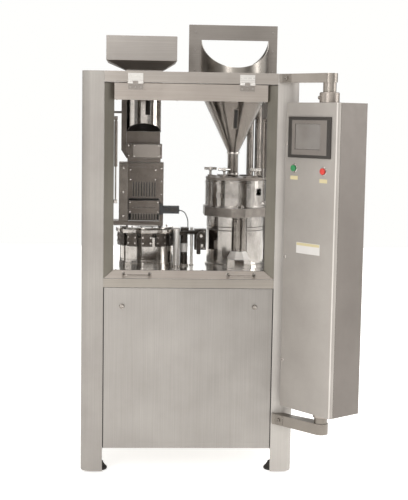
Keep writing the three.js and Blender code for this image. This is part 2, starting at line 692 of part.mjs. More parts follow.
function buildFeedTube() {
  const { x, y, radius, wall, bottom } = FEED;
  const clearBore = upright(radius - wall, x, y, [bottom + 2, 1745], 32);
  const rod = barAlongX(5, [-HALF + WINDOW_INSET + WINDOW_DEPTH + GAP, x - 100], y - 10, 1575, 10);
  const tube = cut(join(feedTubeShell(), feedTubeBracket()), clearBore);
  add('capsule_feed_tube', join(tube, feedTubeChute(), rod), polishedSteel());
}

function laneX(lane) {
  return LANE_CENTRE + (lane - (LANES - 1) / 2) * LANE_PITCH;
}

function buildMagazine() {
  const { left, right, front, rear, bottom, top } = MAGAZINE;
  const body = block([left, right], [front, rear], [1075, top]);
  const hollow = block([-270, -128], [front + 8, rear - 8], [1060, top + 1]);
  const comb = block([-268, -124], [front - 5, front + 10], [1077, 1182]);
  const topStrip = block([-270, -134], [front - 6, front + 2], [1326, 1345]);
  const column = block([left + 4, -273], [front - 10, front + 2], [1082, 1338]);
  const slots = [];
  for (let lane = 0; lane < LANES; lane += 1) {
    slots.push(block([laneX(lane) - 2.6, laneX(lane) + 2.6], [front - 2, front + 12], [1189, 1257]));
  }
  const shelf = block([-400, right], [front + 6, rear - 10], [bottom, 1076]);
  const shelfWell = block([-270, -128], [front + 13, rear - 8], [bottom - 2, 1077]);
  const shell = cut(join(body, topStrip, column, shelf), hollow, comb, shelfWell, ...slots);
  const columns = [-366, -345].map((x) => upright(7, x, 424, [ON_TABLE, bottom + 2], 12));
  add('capsule_magazine', join(shell, ...columns), castGrey());
}

// The sorting comb rises and falls in front of the lanes.
function buildMagazineComb() {
  const front = MAGAZINE.front;
  const body = block([-266, -126], [front - 16, front - 5.6], [1112, 1172]);
  const backing = block([-262, -130], [front - 6, front + 4], [1112, 1172]);
  const holes = [];
  const teeth = [];
  for (let lane = 0; lane < LANES; lane += 1) {
    holes.push(barAlongY(3.2, laneX(lane), [front - 20, front + 8], 1140, 6));
  }
  for (let tooth = 0; tooth <= LANES; tooth += 1) {
    const x = laneX(tooth) - LANE_PITCH / 2;
    teeth.push(block([x - 3.2, x + 3.2], [front - 14, front - 7], [1079, 1113]));
  }
  add('magazine_comb', cut(join(body, backing, ...teeth), ...holes), castGrey());
}

function buildSensor() {
  const body = block([-112, -34], [376, 398], [1114, 1150]);
  const bracket = block([-124, -111], [380, 399.5], [1108, 1158]);
  const foot = block([-124, MAGAZINE.right + 4], [398, 399.7], [1120, 1146]);
  const gland = barAlongX(6, [-35, CABLE_START[0] - GAP], CABLE_START[1], CABLE_START[2], 12);
  add('capsule_sensor', join(body, bracket, foot, gland), plastic(0x2b2b2d));
  const route = [
    CABLE_START, [-22, 389, 1127], [-8, 394, 1118], [2, 402, 1100], [8, 412, 1080], [9, 424, 1062],
    [10, 440, 1048.5],
  ];
  add('sensor_cable', wire(route, 2.2, 20, 6), plastic(0x1c1c1c));
}

// ---- Turret ----
// The fixed drum carries the centre post and the top cover; the disc turns between them.
function buildTurret() {
  const { x, y, radius, bottom, top } = TURRET;
  const drum = turned([
    [0, 1008], [TURRET_DRUM_RADIUS - 5, 1008], [TURRET_DRUM_RADIUS, 1003], [TURRET_DRUM_RADIUS, 884],
    [TURRET_DRUM_RADIUS + 3, 882], [TURRET_DRUM_RADIUS + 3, ON_TABLE], [TURRET_DRUM_RADIUS - 9, ON_TABLE],
    [TURRET_DRUM_RADIUS - 9, 996], [0, 996],
  ], x, y, 36);
  const post = upright(TURRET_POST, x, y, [1000, 1048], 20);
  const cover = turned([[0, 1046], [120, 1042.5], [126, 1044], [124, 1048], [40, 1053], [0, 1053]], x, y, 28);
  add('turret_housing', join(drum, post, cover), polishedSteel());
  const inner = TURRET_POST + 0.8;
  const disc = turned([
    [inner, bottom], [radius - 9, bottom], [radius - 2, bottom + 5], [radius, bottom + 10],
    [radius, top - 2], [radius - 2, top], [inner, top],
  ], x, y, 36);
  const blocks = [];
  const bores = [];
  for (let i = 0; i < SEGMENTS; i += 1) {
    const turn = (i * 360) / SEGMENTS;
    const depth = [-SEGMENT.face, -TURRET_DRUM_RADIUS - 1.5];
    const segment = block([-SEGMENT.halfWidth, SEGMENT.halfWidth], depth, [SEGMENT.bottom, bottom + 3]);
    blocks.push(segment.rotate([0, 0, turn]).translate([x, y, 0]));
    for (const offset of [-16, 16]) {
      const bore = upright(4.5, offset, -radius + 16, [bottom + 8, top + 1], 6);
      bores.push(bore.rotate([0, 0, turn]).translate([x, y, 0]));
    }
  }
  add('turret_disc', cut(join(disc, ...blocks), ...bores), polishedSteel());
}

// Closing and ejecting station to the right of the turret: a column, a cylinder and a guide rod
// under one head.
function buildClosingStation() {
  const [columnX, columnY] = [-44, 392];
  const column = upright(16, columnX, columnY, [ON_TABLE, 1034], 20);
  const cap = turned([[0, 1033], [17, 1033], [17, 1045], [13, 1048], [0, 1048]], columnX, columnY, 20);
  const cylinder = upright(17.5, -8, 436, [ON_TABLE, 1020], 20);
  const guideRod = upright(7, 29, 462, [ON_TABLE, 1044], 14);
  const headPlan = outline([
    [-52, 382], [-32, 382], [12, 424], [60, 440], [60, 484], [-20, 484], [-30, 440], [-52, 404],
  ]);
  const head = plate(headPlan, [1014, 1030]);
  const saddle = block([-24, 14], [424, 456], [1029, 1046]);
  const bracket = block([42, 97], [456, 500], [938, 1036]);
  const lever = block([52, 72], [444, 458], [918, 1000]);
  const motor = barAlongY(19, 72, [420, 458], 1008, 20);
  const bars = join(column, cap, cylinder, guideRod);
  add('closing_station', join(bars, head, saddle, bracket, lever, motor), polishedSteel());
}

// ---- Dosing station ----
function buildDosingBase() {
  const { x, y } = DOSING;
  const [outer, groove, hem, inner] = [DRUM_RADIUS, DRUM_RADIUS - 1.5, DRUM_RADIUS + 6, DRUM_RADIUS - 9];
  const drum = turned([
    [0, 1100], [outer, 1100], [outer, 1053], [groove, 1051], [groove, 1034], [outer, 1032], [outer, 878],
    [hem, 874], [hem, ON_TABLE], [inner, ON_TABLE], [inner, 1090], [0, 1090],
  ], x, y, 36);
  const columnNotch = upright(COLUMN.radius + 1, COLUMN.x, COLUMN.y, [800, 1110], 20);
  add('dosing_drum', cut(drum, columnNotch, columnFoot(TABLE_TOP - 1, 1)), polishedSteel());
  const [tip, side, chamfer] = [190, 150, 32];
  const plan = outline([
    [x - chamfer, y - tip], [x + chamfer, y - tip], [x + side, y - tip + side - chamfer], [x + side, y + 72],
    [x + chamfer, y + tip], [x - chamfer, y + tip], [x - side, y + 72], [x - side, y - tip + side - chamfer],
  ]);
  const slab = plate(plan, [PLATFORM_BOTTOM, PLATFORM_TOP]);
  const domeProfile = [[0, -1], [9, -1], [9, 7], [6, 13], [0, 15]];
  const dome = turned(domeProfile, COLUMN.x, COLUMN.y - 14, 12).translate([0, 0, PLATFORM_TOP]);
  const domes = [dome.translate([-9, 0, 0]), dome.translate([12, 0, 0])];
  add('dosing_platform', join(slab, ...domes), brushedSteel(0x8f8984));
}

function octagon(radius) {
  const points = [];
  for (let i = 0; i < 8; i += 1) {
    const angle = (i + 0.5) * (Math.PI / 4);
    points.push([COLUMN.x + radius * Math.cos(angle), COLUMN.y + radius * Math.sin(angle)]);
  }
  return points;
}

// An eight-sided foot that flares out below the round column; spare widens it all round.
function columnFoot(bottom, spare) {
  const corners = [];
  for (const [radius, z] of [[COLUMN_FOOT + spare, 907], [COLUMN_FOOT - 20 + spare, 944 + spare]]) {
    for (const [x, y] of octagon(radius)) corners.push([x, y, z]);
  }
  return join(plate(outline(octagon(COLUMN_FOOT + spare)), [bottom, 908]), hull(corners));
}

function buildDosingColumn() {
  const { x, y, radius } = COLUMN;
  const end = PLATFORM_BOTTOM - GAP;
  const shaft = turned([
    [0, 940], [radius, 940], [radius, 1084], [radius - 2.5, 1086], [radius - 2.5, 1092], [radius, 1094],
    [radius, end], [0, end],
  ], x, y, 20);
  add('dosing_column', join(columnFoot(ON_TABLE, 0), shaft), polishedSteel());
}

function buildBowl() {
  const { x, y } = DOSING;
  const base = PLATFORM_TOP + GAP;
  const wall = turned([
    [BOWL_RADIUS - 6, base], [BOWL_RADIUS, base], [BOWL_RADIUS, BOWL_TOP], [BOWL_RADIUS - 6, BOWL_TOP],
  ], x, y, 44);
  const port = block([-16.5, 16.5], [-BOWL_RADIUS - 10, -BOWL_RADIUS + 20], [1199, 1232]).rotate([0, 0, 44]);
  const latch = block([-11, 11], [-BOWL_RADIUS - 9, -BOWL_RADIUS + 3], [1188, 1212]).rotate([0, 0, -36]);
  add('dosing_bowl', cut(join(wall, latch.translate([x, y, 0])), port.translate([x, y, 0])), polishedSteel());
  const [discBottom, discTop] = [PLATFORM_TOP + 2, PLATFORM_TOP + 20];
  const rim = BOWL_RADIUS - 7;
  const disc = turned([
    [0, discBottom], [rim, discBottom], [rim, discTop], [32, discTop], [28, discTop + 16], [0, discTop + 16],
  ], x, y, 36);
  const bores = [];
  for (let station = 0; station < 6; station += 1) {
    for (const offset of [-14, 0, 14]) {
      const bore = upright(4.8, offset, -108, [discBottom - 5, discTop + 5], 6).rotate([0, 0, station * 60]);
      bores.push(bore.translate([x, y, 0]));
    }
  }
  add('dosing_disc', cut(disc, ...bores), polishedSteel());
}

// The tamping head: a round plate over the bowl with groups of punches below it.
function buildTampingHead() {
  const { x, y } = DOSING;
  const disc = upright(BOWL_RADIUS - 2, x, y, [HEAD_BOTTOM, HEAD_TOP], 40);
  const pieces = [];
  for (let station = 0; station < 6; station += 1) {
    const pad = block([-26, 26], [-122, -94], [HEAD_TOP - 1, HEAD_TOP + 6]).rotate([0, 0, station * 60 + 30]);
    pieces.push(pad.translate([x, y, 0]));
    for (const offset of [-14, 0, 14]) {
      const punch = upright(3.6, offset, -108, [1200, HEAD_BOTTOM + 1], 6).rotate([0, 0, station * 60]);
      pieces.push(punch.translate([x, y, 0]));
    }
  }
  const neckHole = upright(NECK_RADIUS + 4, HOPPER.x, HOPPER.y, [HEAD_BOTTOM - 5, HEAD_TOP + 20], 24);
  const seats = KNOBS.map((knob) => {
    const angle = THREE.MathUtils.degToRad(knob.angle);
    const [kx, ky] = [x + KNOB_ORBIT * Math.cos(angle), y + KNOB_ORBIT * Math.sin(angle)];
    return upright(13, kx, ky, [HEAD_TOP - 1, HEAD_TOP + 9], 14);
  });
  add('tamping_head', cut(join(disc, ...pieces, ...seats), neckHole), castGrey());
  for (const knob of KNOBS) {
    const angle = THREE.MathUtils.degToRad(knob.angle);
    const hub = turned([
      [0, HEAD_TOP + 9.4], [6, HEAD_TOP + 9.4], [6, HEAD_TOP + 27], [10, HEAD_TOP + 31], [10, HEAD_TOP + 43],
      [0, HEAD_TOP + 46],
    ], 0, 0, 14);
    const bar = barAlongX(5.5, [-29, 29], 0, HEAD_TOP + KNOB_BAR_RISE, 10);
    const grip = join(hub, bar).rotate([0, 0, knob.turn]);
    const place = [x + KNOB_ORBIT * Math.cos(angle), y + KNOB_ORBIT * Math.sin(angle), 0];
    add(knob.name, grip.translate(place), polishedSteel());
  }
}

// ---- Powder hopper ----
// Neck, cone and cylinder in one turned shell, with the rim cut low at the front and at the back,
// and a folded shield plate across the middle.
function buildPowderHopper() {
  const { x, y, radius, coneBottom, coneTop, rimLow, rimHigh } = HOPPER;
  const wall = 3;
  const bottom = 1240;
  const inner = radius - wall;
  const neckInner = NECK_RADIUS - wall;
  const shell = turned([
    [neckInner, bottom], [NECK_RADIUS, bottom], [NECK_RADIUS, coneBottom], [radius, coneTop],
    [radius, rimHigh], [inner, rimHigh], [inner, coneTop + 1.5], [neckInner, coneBottom + 1.5],
  ], x, y, 44);
  const run = radius + 12;
  const edge = rimHigh - ((rimHigh - rimLow) / radius) * run;
  const above = rimHigh + 40;
  const scoop = profileAlongX([
    [y - run, edge], [y, rimHigh], [y + run, edge], [y + run, above], [y - run, above],
  ], [x - radius - 20, x + radius + 20]);
  const sightSlot = block([x - 1, x + 19], [y - radius, y], [1506, 1598]);
  const half = 207;
  const centre = x - 8;
  const sheet = cut(
    block([centre - half, centre + half], [y - 2, y + 24], [FRAME_TOP + 0.5, SHIELD_TOP]),
    block([centre - half + 3, centre + half - 3], [y + 1, y + 26], [FRAME_TOP - 2, SHIELD_TOP - 3]),
    block([x - inner - 0.5, x + inner + 0.5], [y - 5, y + 30], [FRAME_TOP - 2, rimHigh]),
  );
  add('powder_hopper', join(cut(shell, scoop, sightSlot), sheet), brushedSteel(0x9a948c));
}

// Twin columns behind the bowl with the ring that steadies the hopper.
function buildHopperColumn() {
  const ringZ = [1690, 1706];
  const ring = turned([
    [HOPPER.radius + 0.6, ringZ[0]], [HOPPER.radius + 12, ringZ[0]], [HOPPER.radius + 12, ringZ[1]],
    [HOPPER.radius + 0.6, ringZ[1]],
  ], HOPPER.x, HOPPER.y, 44);
  const pipes = [318, 357].map((px) => upright(17, px, 700, [ON_TABLE, 1736], 18));
  const arm = hull([
    [300, 660, ringZ[0]], [345, 630, ringZ[0]], [378, 715, ringZ[0]], [300, 715, ringZ[0]],
    [300, 660, ringZ[1]], [345, 630, ringZ[1]], [378, 715, ringZ[1]], [300, 715, ringZ[1]],
  ]);
  const clearance = upright(HOPPER.radius + 0.6, HOPPER.x, HOPPER.y, [1600, 1750], 44);
  add('hopper_column', join(cut(join(ring, arm), clearance), ...pipes), polishedSteel());
}

// ---- Drive inside the lower cabinet ----
function buildDrive() {
  const shaft = barAlongX(16, [-250, 330], SHAFT_Y, SHAFT_Z, 14);
  const camSizes = [[-170, 70, 4], [-90, 60, -4], [40, 66, 8], [150, 58, 0], [240, 72, -6]];
  const cams = camSizes.map(([x, radius, throwUp]) => (
    barAlongX(radius, [x - 9, x + 9], SHAFT_Y, SHAFT_Z + throwUp, 18)
  ));
  add('cam_shaft', join(shaft, ...cams), polishedSteel());
  const motorBody = barAlongX(75, [-385, -275], SHAFT_Y, SHAFT_Z, 20);
  const flange = barAlongX(88, [-276, -262], SHAFT_Y, SHAFT_Z, 20);
  const pedestal = block([-370, -268], [SHAFT_Y - 60, SHAFT_Y + 60], [SKIRT_BOTTOM + 6 + GAP, SHAFT_Z - 40]);
  const socket = barAlongX(16.6, [-290, -260], SHAFT_Y, SHAFT_Z, 20);
  add('main_motor', cut(join(motorBody, flange, pedestal), socket), castGrey());
  const casting = join(
    block([-230, 380], [470, 640], [SKIRT_BOTTOM + 6 + GAP, 210]),
    block([TURRET.x - 90, TURRET.x + 90], [400, 580], [205, 700]),
    block([DOSING.x - 90, DOSING.x + 90], [450, 620], [205, 700]),
    upright(40, TURRET.x, TURRET.y, [690, RAIL_TOP - 5 - GAP], 16),
    upright(40, DOSING.x, DOSING.y, [690, RAIL_TOP - 5 - GAP], 16),
    block([290, 330], [SHAFT_Y - 32, 480], [SKIRT_BOTTOM + 6 + GAP, SHAFT_Z + 34]),
  );
  const bearing = barAlongX(17, [285, 335], SHAFT_Y, SHAFT_Z, 16);
  add('index_gearbox', cut(casting, bearing), castGrey());
}

buildPosts();
buildFeet();
buildBaseTray();
buildWorkTable();
buildTopFrame();
buildLowerPanels();
buildLocks();
buildHatch();
buildHinges();
buildHandles();
buildStruts();
buildWindows();
buildArms();
buildCabinet();
buildCapsuleHopper();
buildFeedTube();
buildMagazine();
buildMagazineComb();
buildSensor();
buildTurret();
buildClosingStation();
buildDosingBase();
buildDosingColumn();
buildBowl();
buildTampingHead();
buildPowderHopper();
buildHopperColumn();
buildDrive();

// The origin is the bottom centre of the whole machine.
machine.updateMatrixWorld(true);
const extent = new THREE.Box3().setFromObject(machine, true);
const centre = extent.getCenter(new THREE.Vector3());
machine.position.set(-centre.x, -centre.y, -extent.min.z);

export default machine;
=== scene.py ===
# Looks of the automatic capsule filling machine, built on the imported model's frame.
# Positions are given in the machine's own millimetres: X right, Y into the depth from the front, Z up.
import math
import bmesh
import bpy
from mathutils import Matrix, Vector


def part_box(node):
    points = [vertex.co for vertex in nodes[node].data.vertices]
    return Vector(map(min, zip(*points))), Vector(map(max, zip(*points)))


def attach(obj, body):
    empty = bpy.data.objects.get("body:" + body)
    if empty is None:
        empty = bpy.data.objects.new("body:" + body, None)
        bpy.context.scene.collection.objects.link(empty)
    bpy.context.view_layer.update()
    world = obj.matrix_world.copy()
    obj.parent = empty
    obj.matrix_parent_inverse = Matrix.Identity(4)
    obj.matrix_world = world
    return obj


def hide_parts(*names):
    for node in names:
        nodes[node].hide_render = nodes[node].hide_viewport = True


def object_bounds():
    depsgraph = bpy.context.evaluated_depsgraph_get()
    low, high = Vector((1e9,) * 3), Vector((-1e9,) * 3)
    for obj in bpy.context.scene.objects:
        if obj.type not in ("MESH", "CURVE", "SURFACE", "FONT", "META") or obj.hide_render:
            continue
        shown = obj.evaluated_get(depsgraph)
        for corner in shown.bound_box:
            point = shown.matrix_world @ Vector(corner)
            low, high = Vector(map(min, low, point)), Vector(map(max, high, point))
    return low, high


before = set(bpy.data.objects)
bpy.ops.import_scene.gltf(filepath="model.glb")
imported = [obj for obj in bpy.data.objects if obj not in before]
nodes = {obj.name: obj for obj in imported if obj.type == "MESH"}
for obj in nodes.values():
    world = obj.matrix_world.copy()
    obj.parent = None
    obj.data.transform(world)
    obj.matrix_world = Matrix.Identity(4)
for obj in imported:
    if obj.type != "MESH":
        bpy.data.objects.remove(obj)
cad_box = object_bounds()

# The machine's zero is the middle of the frame's width, in its front plane, on the floor.
FRAME_HALF = 465
FRAME_DEPTH = 830
front_left_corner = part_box("corner_post_front_left")[0]
ORIGIN = Vector((front_left_corner.x + FRAME_HALF / 1000, front_left_corner.y, 0.0))

# Heights and places that several pieces share.
BASE_LEVEL = 112
TRAY_TOP = 152
FEED = (-200, 430)
TURRET = (-182, 476)
CLOSING_COLUMN = (-44, 392)
CYLINDER = (-8, 436)
DOSING = (238, 533)
COLUMN = (244, 378)
HOPPER = (222, 533)
PLATFORM_TOP = 1142


def M(x, y, z):
    """A machine position in millimetres as a place in the frame, in metres."""
    return Vector((ORIGIN.x + x / 1000, ORIGIN.y + y / 1000, z / 1000))


# ---------------------------------------------------------------- materials
def srgb(colour):
    """Linear value of an sRGB colour given as 0..255."""
    out = []
    for v in colour:
        v /= 255
        out.append(v / 12.92 if v <= 0.04045 else ((v + 0.055) / 1.055) ** 2.4)
    return (*out, 1.0)


# Rubbed edges: how far the wear reaches in metres, how strong it is, and the turn between which it fades.
EDGE_REACH = 0.0011
EDGE_WEAR = 0.7
EDGE_TURN = (0.90, 0.99)


class Nodes:
    """A small helper for writing a material's node tree."""

    def __init__(self, name):
        self.material = bpy.data.materials.new(name)
        self.material.use_nodes = True
        self.tree = self.material.node_tree
        self.shader = self.tree.nodes["Principled BSDF"]
        self.coord = self.tree.nodes.new("ShaderNodeTexCoord")

    def node(self, kind, **props):
        made = self.tree.nodes.new("ShaderNode" + kind)
        for key, value in props.items():
            setattr(made, key, value)
        return made

    def link(self, source, target):
        self.tree.links.new(source, target)

    def mapped(self, scale):
        mapping = self.node("Mapping")
        mapping.inputs["Scale"].default_value = scale
        self.link(self.coord.outputs["Object"], mapping.inputs["Vector"])
        return mapping.outputs["Vector"]

    def noise(self, scale, detail=3.0, rough=0.5, stretch=(1, 1, 1)):
        made = self.node("TexNoise")
        made.inputs["Scale"].default_value = scale
        made.inputs["Detail"].default_value = detail
        made.inputs["Roughness"].default_value = rough
        self.link(self.mapped(stretch), made.inputs["Vector"])
        return made.outputs["Fac"]

    def span(self, source, low, high, start=0.0, end=1.0):
        made = self.node("MapRange")
        made.inputs["From Min"].default_value = start
        made.inputs["From Max"].default_value = end
        made.inputs["To Min"].default_value = low
        made.inputs["To Max"].default_value = high
        self.link(source, made.inputs["Value"])
        return made.outputs["Result"]

    def ramp(self, source, dark, light, start=0.3, end=0.7):
        made = self.node("ValToRGB")
        made.color_ramp.elements[0].position = start
        made.color_ramp.elements[1].position = end
        made.color_ramp.elements[0].color = srgb(dark)
        made.color_ramp.elements[1].color = srgb(light)
        self.link(source, made.inputs["Fac"])
        return made.outputs["Color"]

    def bump(self, source, strength, distance, under=None):
        made = self.node("Bump")
        made.inputs["Strength"].default_value = strength
        made.inputs["Distance"].default_value = distance
        self.link(source, made.inputs["Height"])
        if under is not None:
            self.link(under, made.inputs["Normal"])
        return made.outputs["Normal"]

    def multiply(self, factor, first, second):
        made = self.node("Mix", data_type="RGBA", blend_type="MULTIPLY")
        made.inputs["Factor"].default_value = factor
        self.link(first, made.inputs["A"])
        self.link(second, made.inputs["B"])
        return made.outputs["Result"]

    def total(self, first, second):
        made = self.node("Math", operation="ADD")
        self.link(first, made.inputs[0])
        self.link(second, made.inputs[1])
        return made.outputs[0]

    def finish(self, colour, rough, normal, metal=None):
        """Links the shader's colour, roughness and normal, and sets how metallic it is."""
        self.link(colour, self.shader.inputs["Base Color"])
        self.link(rough, self.shader.inputs["Roughness"])
        self.link(normal, self.shader.inputs["Normal"])
        if metal is not None:
            self.shader.inputs["Metallic"].default_value = metal
        return self.material

    def edge_wear(self, colour, worn):
        """The colour brightens along a thin line at the surface's outer and inner edges."""
        rounded = self.node("Bevel", samples=4)
        rounded.inputs["Radius"].default_value = EDGE_REACH
        geometry = self.node("NewGeometry")
        turned = self.node("VectorMath", operation="DOT_PRODUCT")
        self.link(rounded.outputs["Normal"], turned.inputs[0])
        self.link(geometry.outputs["Normal"], turned.inputs[1])
        mask = self.span(turned.outputs["Value"], EDGE_WEAR, 0.0, *EDGE_TURN)
        made = self.node("Mix", data_type="RGBA")
        made.inputs["B"].default_value = srgb(worn)
        self.link(mask, made.inputs["Factor"])
        self.link(colour, made.inputs["A"])
        return made.outputs["Result"]


def brushed(name, dark, light, grain="z", rough=(0.34, 0.46), metal=0.85, strength=0.10):
    """Satin stainless sheet: fine hairlines along the grain, soft cloudiness and rubbed edges."""
    n = Nodes(name)
    stretch = {"x": (3, 900, 900), "y": (900, 3, 900), "z": (900, 900, 3)}[grain]
    wide = {"x": (1, 90, 90), "y": (90, 1, 90), "z": (90, 90, 1)}[grain]
    hair = n.noise(1.0, 2.0, 0.6, stretch)
    band = n.noise(1.0, 2.0, 0.5, wide)
    cloud = n.noise(3.2, 4.0, 0.55)
    smear = n.noise(11.0, 3.0, 0.6)
    base = n.ramp(cloud, dark, light)
    line = n.ramp(hair, (205, 205, 205), (255, 255, 255), 0.25, 0.75)
    colour = n.edge_wear(n.multiply(0.55, base, line), (228, 224, 219))
    dull = n.total(n.span(smear, *rough, 0.3, 0.7), n.span(hair, -0.04, 0.05, 0.3, 0.7))
    normal = n.bump(hair, strength, 0.0002, n.bump(band, strength * 0.6, 0.0006))
    return n.finish(colour, dull, normal, metal)


def polished(name, dark, light, rough=(0.08, 0.2), rings=True):
    """Turned and polished stainless: fine tool rings, wipe marks and small scratches."""
    n = Nodes(name)
    hair = n.noise(1.0, 2.0, 0.6, (14, 14, 1500)) if rings else n.noise(1.0, 2.0, 0.6, (1200, 14, 14))
    wipe = n.noise(14.0, 4.0, 0.6)
    scratch = n.noise(1.0, 3.0, 0.7, (40, 900, 60))
    colour = n.edge_wear(n.ramp(wipe, dark, light, 0.3, 0.75), (240, 238, 234))
    dull = n.total(n.span(wipe, *rough, 0.35, 0.7), n.span(scratch, 0.0, 0.05, 0.55, 0.8))
    return n.finish(colour, dull, n.bump(hair, 0.05, 0.0002, n.bump(scratch, 0.03, 0.0002)), 1.0)


def machined(name, dark, light, rough=(0.38, 0.55), metal=0.75):
    """Ground and milled grey metal with cross-hatched cutter marks and dark pores."""
    n = Nodes(name)
    cloud = n.noise(26.0, 5.0, 0.6)
    pores = n.noise(420.0, 2.0, 0.5)
    marks = n.noise(1.0, 2.0, 0.6, (60, 700, 700))
    base = n.ramp(cloud, dark, light)
    speck = n.ramp(pores, (170, 168, 165), (255, 255, 255), 0.32, 0.45)
    colour = n.edge_wear(n.multiply(0.6, base, speck), (205, 202, 197))
    normal = n.bump(marks, 0.12, 0.0002, n.bump(pores, 0.15, 0.0003))
    return n.finish(colour, n.span(cloud, *rough, 0.3, 0.7), normal, metal)


def coated(name, dark, light, rough=(0.36, 0.5), metal=0.0, grain=240.0, strength=0.12,
           edge=(200, 196, 190)):
    """A coated or moulded skin: fine orange peel, faint mottling and rubbed edges."""
    n = Nodes(name)
    cloud = n.noise(5.0, 4.0, 0.55)
    peel = n.noise(grain, 2.0, 0.5)
    grime = n.noise(38.0, 4.0, 0.65)
    colour = n.edge_wear(n.ramp(cloud, dark, light), edge)
    return n.finish(colour, n.span(grime, *rough, 0.3, 0.7), n.bump(peel, strength, 0.0004), metal)


def clear(name, tint=(250, 252, 252)):
    """A clear safety pane: it lets nearly everything through and carries faint wipe marks."""
    n = Nodes(name)
    wipe = n.noise(4.0, 4.0, 0.6, (1, 1, 0.4))
    grit = n.noise(260.0, 2.0, 0.5)
    n.shader.inputs["Base Color"].default_value = srgb(tint)
    n.link(n.span(wipe, 0.0, 0.035, 0.35, 0.75), n.shader.inputs["Roughness"])
    n.link(n.bump(grit, 0.01, 0.0001), n.shader.inputs["Normal"])
    n.shader.inputs["IOR"].default_value = 1.15
    n.shader.inputs["Transmission Weight"].default_value = 1.0
    n.shader.inputs["Alpha"].default_value = 0.06
    n.material.surface_render_method = "BLENDED"
    return n.material


def screen_material():
    """A grey screen with a fine dot raster and a soft sheen, with nothing drawn on it."""
    n = Nodes("screen_glass")
    haze = n.noise(9.0, 3.0, 0.5)
    raster = n.noise(900.0, 1.0, 0.5)
    n.shader.inputs["Coat Weight"].default_value = 0.5
    colour = n.ramp(haze, (106, 100, 95), (120, 115, 110))
    return n.finish(colour, n.span(haze, 0.16, 0.26, 0.3, 0.7), n.bump(raster, 0.04, 0.0001))


